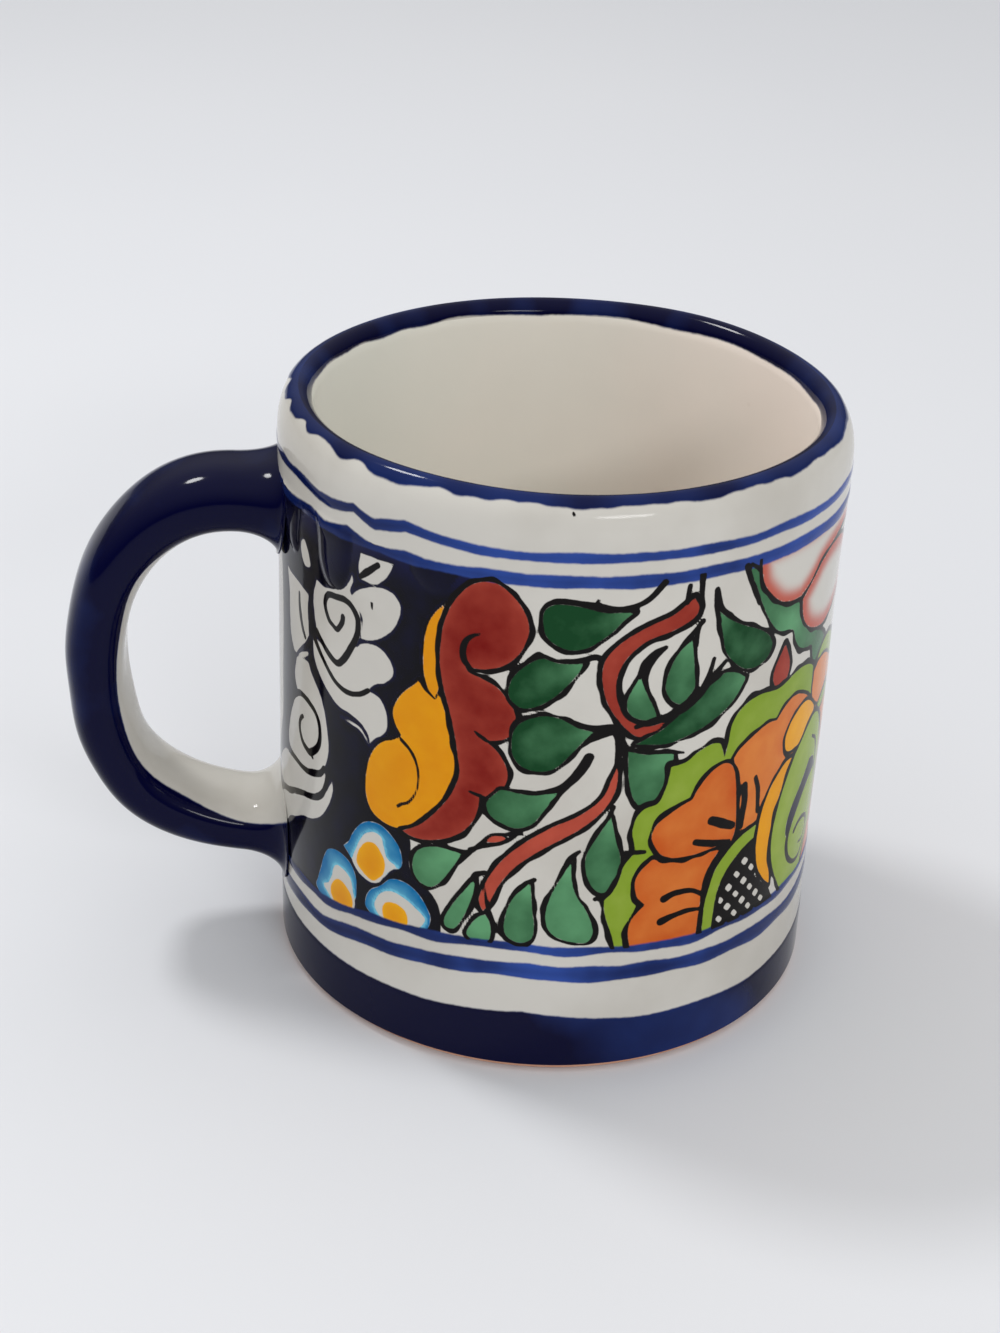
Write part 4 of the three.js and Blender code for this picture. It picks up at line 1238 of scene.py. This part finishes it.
# Grain of the textures, as cells per metre and levels of detail
GLAZE_CLOUDS = (38, 4)
SPECK_CELLS = 130
SPECK_PLACES = (75, 1)
COBALT_BLOTCHES = (34, 2)
FINE_BLOTCHES = (120, 2)
GLAZE_WAVES = (110, 2)
FINE_WAVES = (420, 2)
HAND_SHAKE = (900, 2)
BRUSH_STREAKS = (330, 3)
WASH_CLOUDS = (120, 2)
INSIDE_CLOUDS = (30, 3)
CLAY_MOTTLE = (260, 5)
CLAY_GRAINS = (1500, 2)
CLAY_TOOTH = (1300, 4)
WHEEL_RINGS = {"Scale": 110, "Distortion": 2}
FLOOR_CLOUDS = (2.5, 2)

# Surfaces
GLAZE_ROUGHNESS = 0.09
GLAZE_IOR = 1.4
GLAZE_SPECULAR = 0.17
GLAZE_RIPPLE = 0.12 * MM
CLAY_ROUGHNESS = 0.85
CLAY_RELIEF = 0.15 * MM
FLOOR_ROUGHNESS = 0.6
SOFT_EDGE = 0.09


def white_ground(finish):
    """Tin-white glaze: faint cloudiness and a few fine specks."""
    cloud = finish.ease(finish.noise(*GLAZE_CLOUDS), 0.42, 0.72)
    base = finish.mix(cloud, WHITE_GLAZE, WHITE_SHADE)
    cells = finish.texture("ShaderNodeTexVoronoi", {"Scale": SPECK_CELLS})
    rare = finish.ease(finish.noise(*SPECK_PLACES), 0.66, 0.7)
    speck = finish.times(finish.ease(cells.outputs["Distance"], 0.03, 0.07, 1.0, 0.0), rare)
    return finish.mix(finish.times(speck, 0.6), base, SPECK)


def cobalt_over(finish, base, shake):
    depth = finish.plus(finish.attribute("cobalt"), shake)
    covers = finish.ease(depth, -0.18, 0.22)
    pool = finish.attribute("pool")
    fine = finish.times(finish.noise(*FINE_BLOTCHES), 0.6)
    blotches = finish.plus(finish.noise(*COBALT_BLOTCHES), fine)
    swing = finish.ease(blotches, 0.58, 1.0, -0.3, 0.34)
    uneven = finish.times(swing, finish.ease(pool, 0.4, 0.75, 1.0, 0.2))
    thick = finish.plus(pool, uneven, clamp=True)
    return finish.mix(covers, base, finish.mix(thick, COBALT_THIN, COBALT_DEEP))


def gloss(finish, colour):
    finish.surface(colour, GLAZE_ROUGHNESS)
    finish.shader.inputs["IOR"].default_value = GLAZE_IOR
    finish.shader.inputs["Specular IOR Level"].default_value = GLAZE_SPECULAR
    fine = finish.times(finish.noise(*FINE_WAVES), 0.25)
    wave = finish.plus(finish.noise(*GLAZE_WAVES), fine)
    finish.bump(wave, 0.35, GLAZE_RIPPLE)


def hand_wobble(finish):
    return finish.times(finish.from_middle(*HAND_SHAKE), 0.22)


def painted_finish():
    finish = Finish("painted_glaze")
    base = white_ground(finish)
    shake = hand_wobble(finish)
    streaks = finish.from_middle(*BRUSH_STREAKS)
    clouds = finish.from_middle(*WASH_CLOUDS)
    shade = finish.attribute("tone")
    rosy = finish.times(finish.attribute("blush"), 0.95)
    base = finish.mix(rosy, base, COLOURS["red"][1])
    for name in PIGMENTS:
        depth = finish.plus(finish.attribute(name), shake)
        covers = finish.ease(depth, -SOFT_EDGE, SOFT_EDGE)
        pooled = finish.ease(depth, 0.2, 2.6, -0.06, 0.08)
        light = finish.plus(shade, pooled)
        light = finish.plus(light, finish.times(streaks, 0.45))
        light = finish.plus(light, finish.times(clouds, 0.5), clamp=True)
        base = finish.mix(covers, base, finish.mix(light, *COLOURS[name]))
    base = cobalt_over(finish, base, shake)
    line = finish.plus(finish.attribute("ink"), finish.times(shake, 0.7))
    base = finish.mix(finish.ease(line, -0.07, 0.08), base, INK)
    gloss(finish, base)
    return finish.material


def cobalt_finish():
    finish = Finish("cobalt_glaze")
    base = cobalt_over(finish, white_ground(finish), hand_wobble(finish))
    gloss(finish, base)
    return finish.material


def liner_finish():
    finish = Finish("white_liner_glaze")
    base = white_ground(finish)
    # The inside is painted lighter than the outer glaze, with grey painted shade towards its left and warm
    # painted light towards its right
    clouds = finish.times(finish.noise(*INSIDE_CLOUDS), 0.04)
    towards_lit_right = finish.plus(finish.axes()["X"], clouds)
    base = finish.mix(0.75, base, INSIDE_PAINTED_LIGHTER)
    base = finish.mix(finish.ease(towards_lit_right, -0.02, 0.04, 0.8, 0.0), base, PAINTED_GREY_SHADE)
    base = finish.mix(finish.ease(towards_lit_right, 0.02, 0.07, 0.0, 0.7), base, PAINTED_WARM_LIGHT)
    base = cobalt_over(finish, base, hand_wobble(finish))
    gloss(finish, base)
    return finish.material


def clay_finish():
    finish = Finish("bare_clay")
    mottled = finish.mix(finish.ease(finish.noise(*CLAY_MOTTLE), 0.3, 0.7), CLAY_PALE, CLAY_DARK)
    grit = finish.ease(finish.noise(*CLAY_GRAINS), 0.62, 0.7)
    base = finish.mix(finish.times(grit, 0.35), mottled, CLAY_GRIT)
    rings = {"wave_type": "RINGS", "rings_direction": "Z"}
    wheel = finish.texture("ShaderNodeTexWave", WHEEL_RINGS, **rings)
    base = finish.mix(finish.times(wheel.outputs["Fac"], 0.22), base, CLAY_RING)
    axes = finish.axes()
    squares = [finish.times(axes[axis], axes[axis]) for axis in "XY"]
    from_axis = finish.math("SQRT", finish.plus(*squares))
    corner = RADIUS - COAT - FOOT_BEVEL - FOOT_RING - FOOT_RECESS / 2
    base = finish.mix(finish.ease(from_axis, corner, corner + 0.6 * MM, 0.0, 0.4), base, CLAY_RUBBED)
    # Painted shade: a dark line where the recess meets the foot ring
    from_corner = finish.math("ABSOLUTE", finish.math("SUBTRACT", from_axis, corner))
    base = finish.mix(finish.ease(from_corner, 0.2 * MM, 0.9 * MM, 0.7, 0.0), base, CLAY_CORNER_SHADE)
    finish.surface(base, CLAY_ROUGHNESS)
    marks = finish.plus(finish.noise(*CLAY_TOOTH), finish.times(wheel.outputs["Fac"], 0.8))
    finish.bump(marks, 0.6, CLAY_RELIEF)
    return finish.material


painted_glaze = painted_finish()
cobalt_glaze = cobalt_finish()
white_liner_glaze = liner_finish()
bare_clay = clay_finish()


def dress(piece, material, slot_name, *nodes):
    piece.data.materials.clear()
    piece.data.materials.append(material)
    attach(piece, "root")
    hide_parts(*nodes)


dress(coats["liner_coat"], white_liner_glaze, "white_glaze", "liner_glaze")
dress(coats["rim_coat"], cobalt_glaze, "cobalt_glaze", "rim_glaze")
dress(coats["foot_coat"], cobalt_glaze, "cobalt_glaze", "foot_glaze")
dress(handle, cobalt_glaze, "cobalt_glaze", "handle_cobalt_glaze", "handle_white_glaze", "handle_core",
      "upper_lute", "lower_lute")
dress(clay_body, bare_clay, "clay", "clay_body")
for name in WALL_PIECES:
    dress(coats[name], painted_glaze, "painted_glaze", "wall_glaze")

# Pale floor, soft light and the camera
FLOOR_SIZE = 8
ROOM_STRENGTH = 0.8
ROOM_COLOUR = (1.0, 1.0, 1.0, 1.0)
deselect()
bpy.ops.mesh.primitive_plane_add(size=FLOOR_SIZE, location=(0, 0, 0))
floor = bpy.context.object
floor.name = "floor"
floor_finish = Finish("pale_floor")
floor_colour = floor_finish.mix(floor_finish.noise(*FLOOR_CLOUDS), FLOOR_PALE, FLOOR_PALER)
floor_finish.surface(floor_colour, FLOOR_ROUGHNESS)
floor.data.materials.append(floor_finish.material)

# The room is even and white, but glossy faces see it darker near the floor than overhead
GLOSSY_ROOM = {"From Min": 0.1, "From Max": 0.95, "To Min": 0.14, "To Max": 1.2}
world = bpy.data.worlds.new("soft_room")
bpy.context.scene.world = world
world.use_nodes = True
room_nodes = world.node_tree.nodes
room_links = world.node_tree.links
room = room_nodes["Background"]
room.inputs["Strength"].default_value = ROOM_STRENGTH
rays = room_nodes.new("ShaderNodeLightPath")
dimmer = room_nodes.new("ShaderNodeMix")
dimmer.data_type = "RGBA"
dimmer.inputs["A"].default_value = ROOM_COLOUR
seen_way = room_nodes.new("ShaderNodeTexCoord")
seen_height = room_nodes.new("ShaderNodeSeparateXYZ")
reflected = room_nodes.new("ShaderNodeMapRange")
for socket, value in GLOSSY_ROOM.items():
    reflected.inputs[socket].default_value = value
room_links.new(seen_way.outputs["Generated"], seen_height.inputs[0])
room_links.new(seen_height.outputs["Z"], reflected.inputs["Value"])
room_links.new(reflected.outputs["Result"], dimmer.inputs["B"])
room_links.new(rays.outputs["Is Glossy Ray"], dimmer.inputs["Factor"])
room_links.new(dimmer.outputs["Result"], room.inputs["Color"])


def set_up(name, data, place, turn):
    thing = bpy.data.objects.new(name, data)
    bpy.context.scene.collection.objects.link(thing)
    thing.location = place
    thing.rotation_euler = turn.to_euler()
    return thing


def lamp(name, place, aim, size, power):
    data = bpy.data.lights.new(name, "AREA")
    data.shape = "ELLIPSE"
    data.size, data.size_y = size
    data.energy = power
    set_up(name, data, place, (Vector(aim) - Vector(place)).to_track_quat("-Z", "Y"))


MUG_MIDDLE = (0, 0, 0.05)
lamp("ceiling_lamp", place=(-0.37, 0.26, 0.8), aim=MUG_MIDDLE, size=(0.17, 0.15), power=2.6)
lamp("window", place=(0.3, -0.9, 0.52), aim=MUG_MIDDLE, size=(0.4, 0.12), power=2.4)

CAMERA_PLACE = Vector((-0.03574, -0.3022, 0.2104))
CAMERA_AIM = Vector((-0.008165, 0.000743, 0.04588))
CAMERA_ROLL = math.radians(2.27)
CAMERA_LENS = 59.41
CAMERA_SENSOR = 36
camera_data = bpy.data.cameras.new("camera")
camera_data.lens = CAMERA_LENS
camera_data.sensor_width = CAMERA_SENSOR
look = (CAMERA_AIM - CAMERA_PLACE).to_track_quat("-Z", "Y") @ Quaternion((0, 0, 1), CAMERA_ROLL)
bpy.context.scene.camera = set_up("camera", camera_data, CAMERA_PLACE, look)
bpy.context.scene.view_settings.view_transform = "Standard"
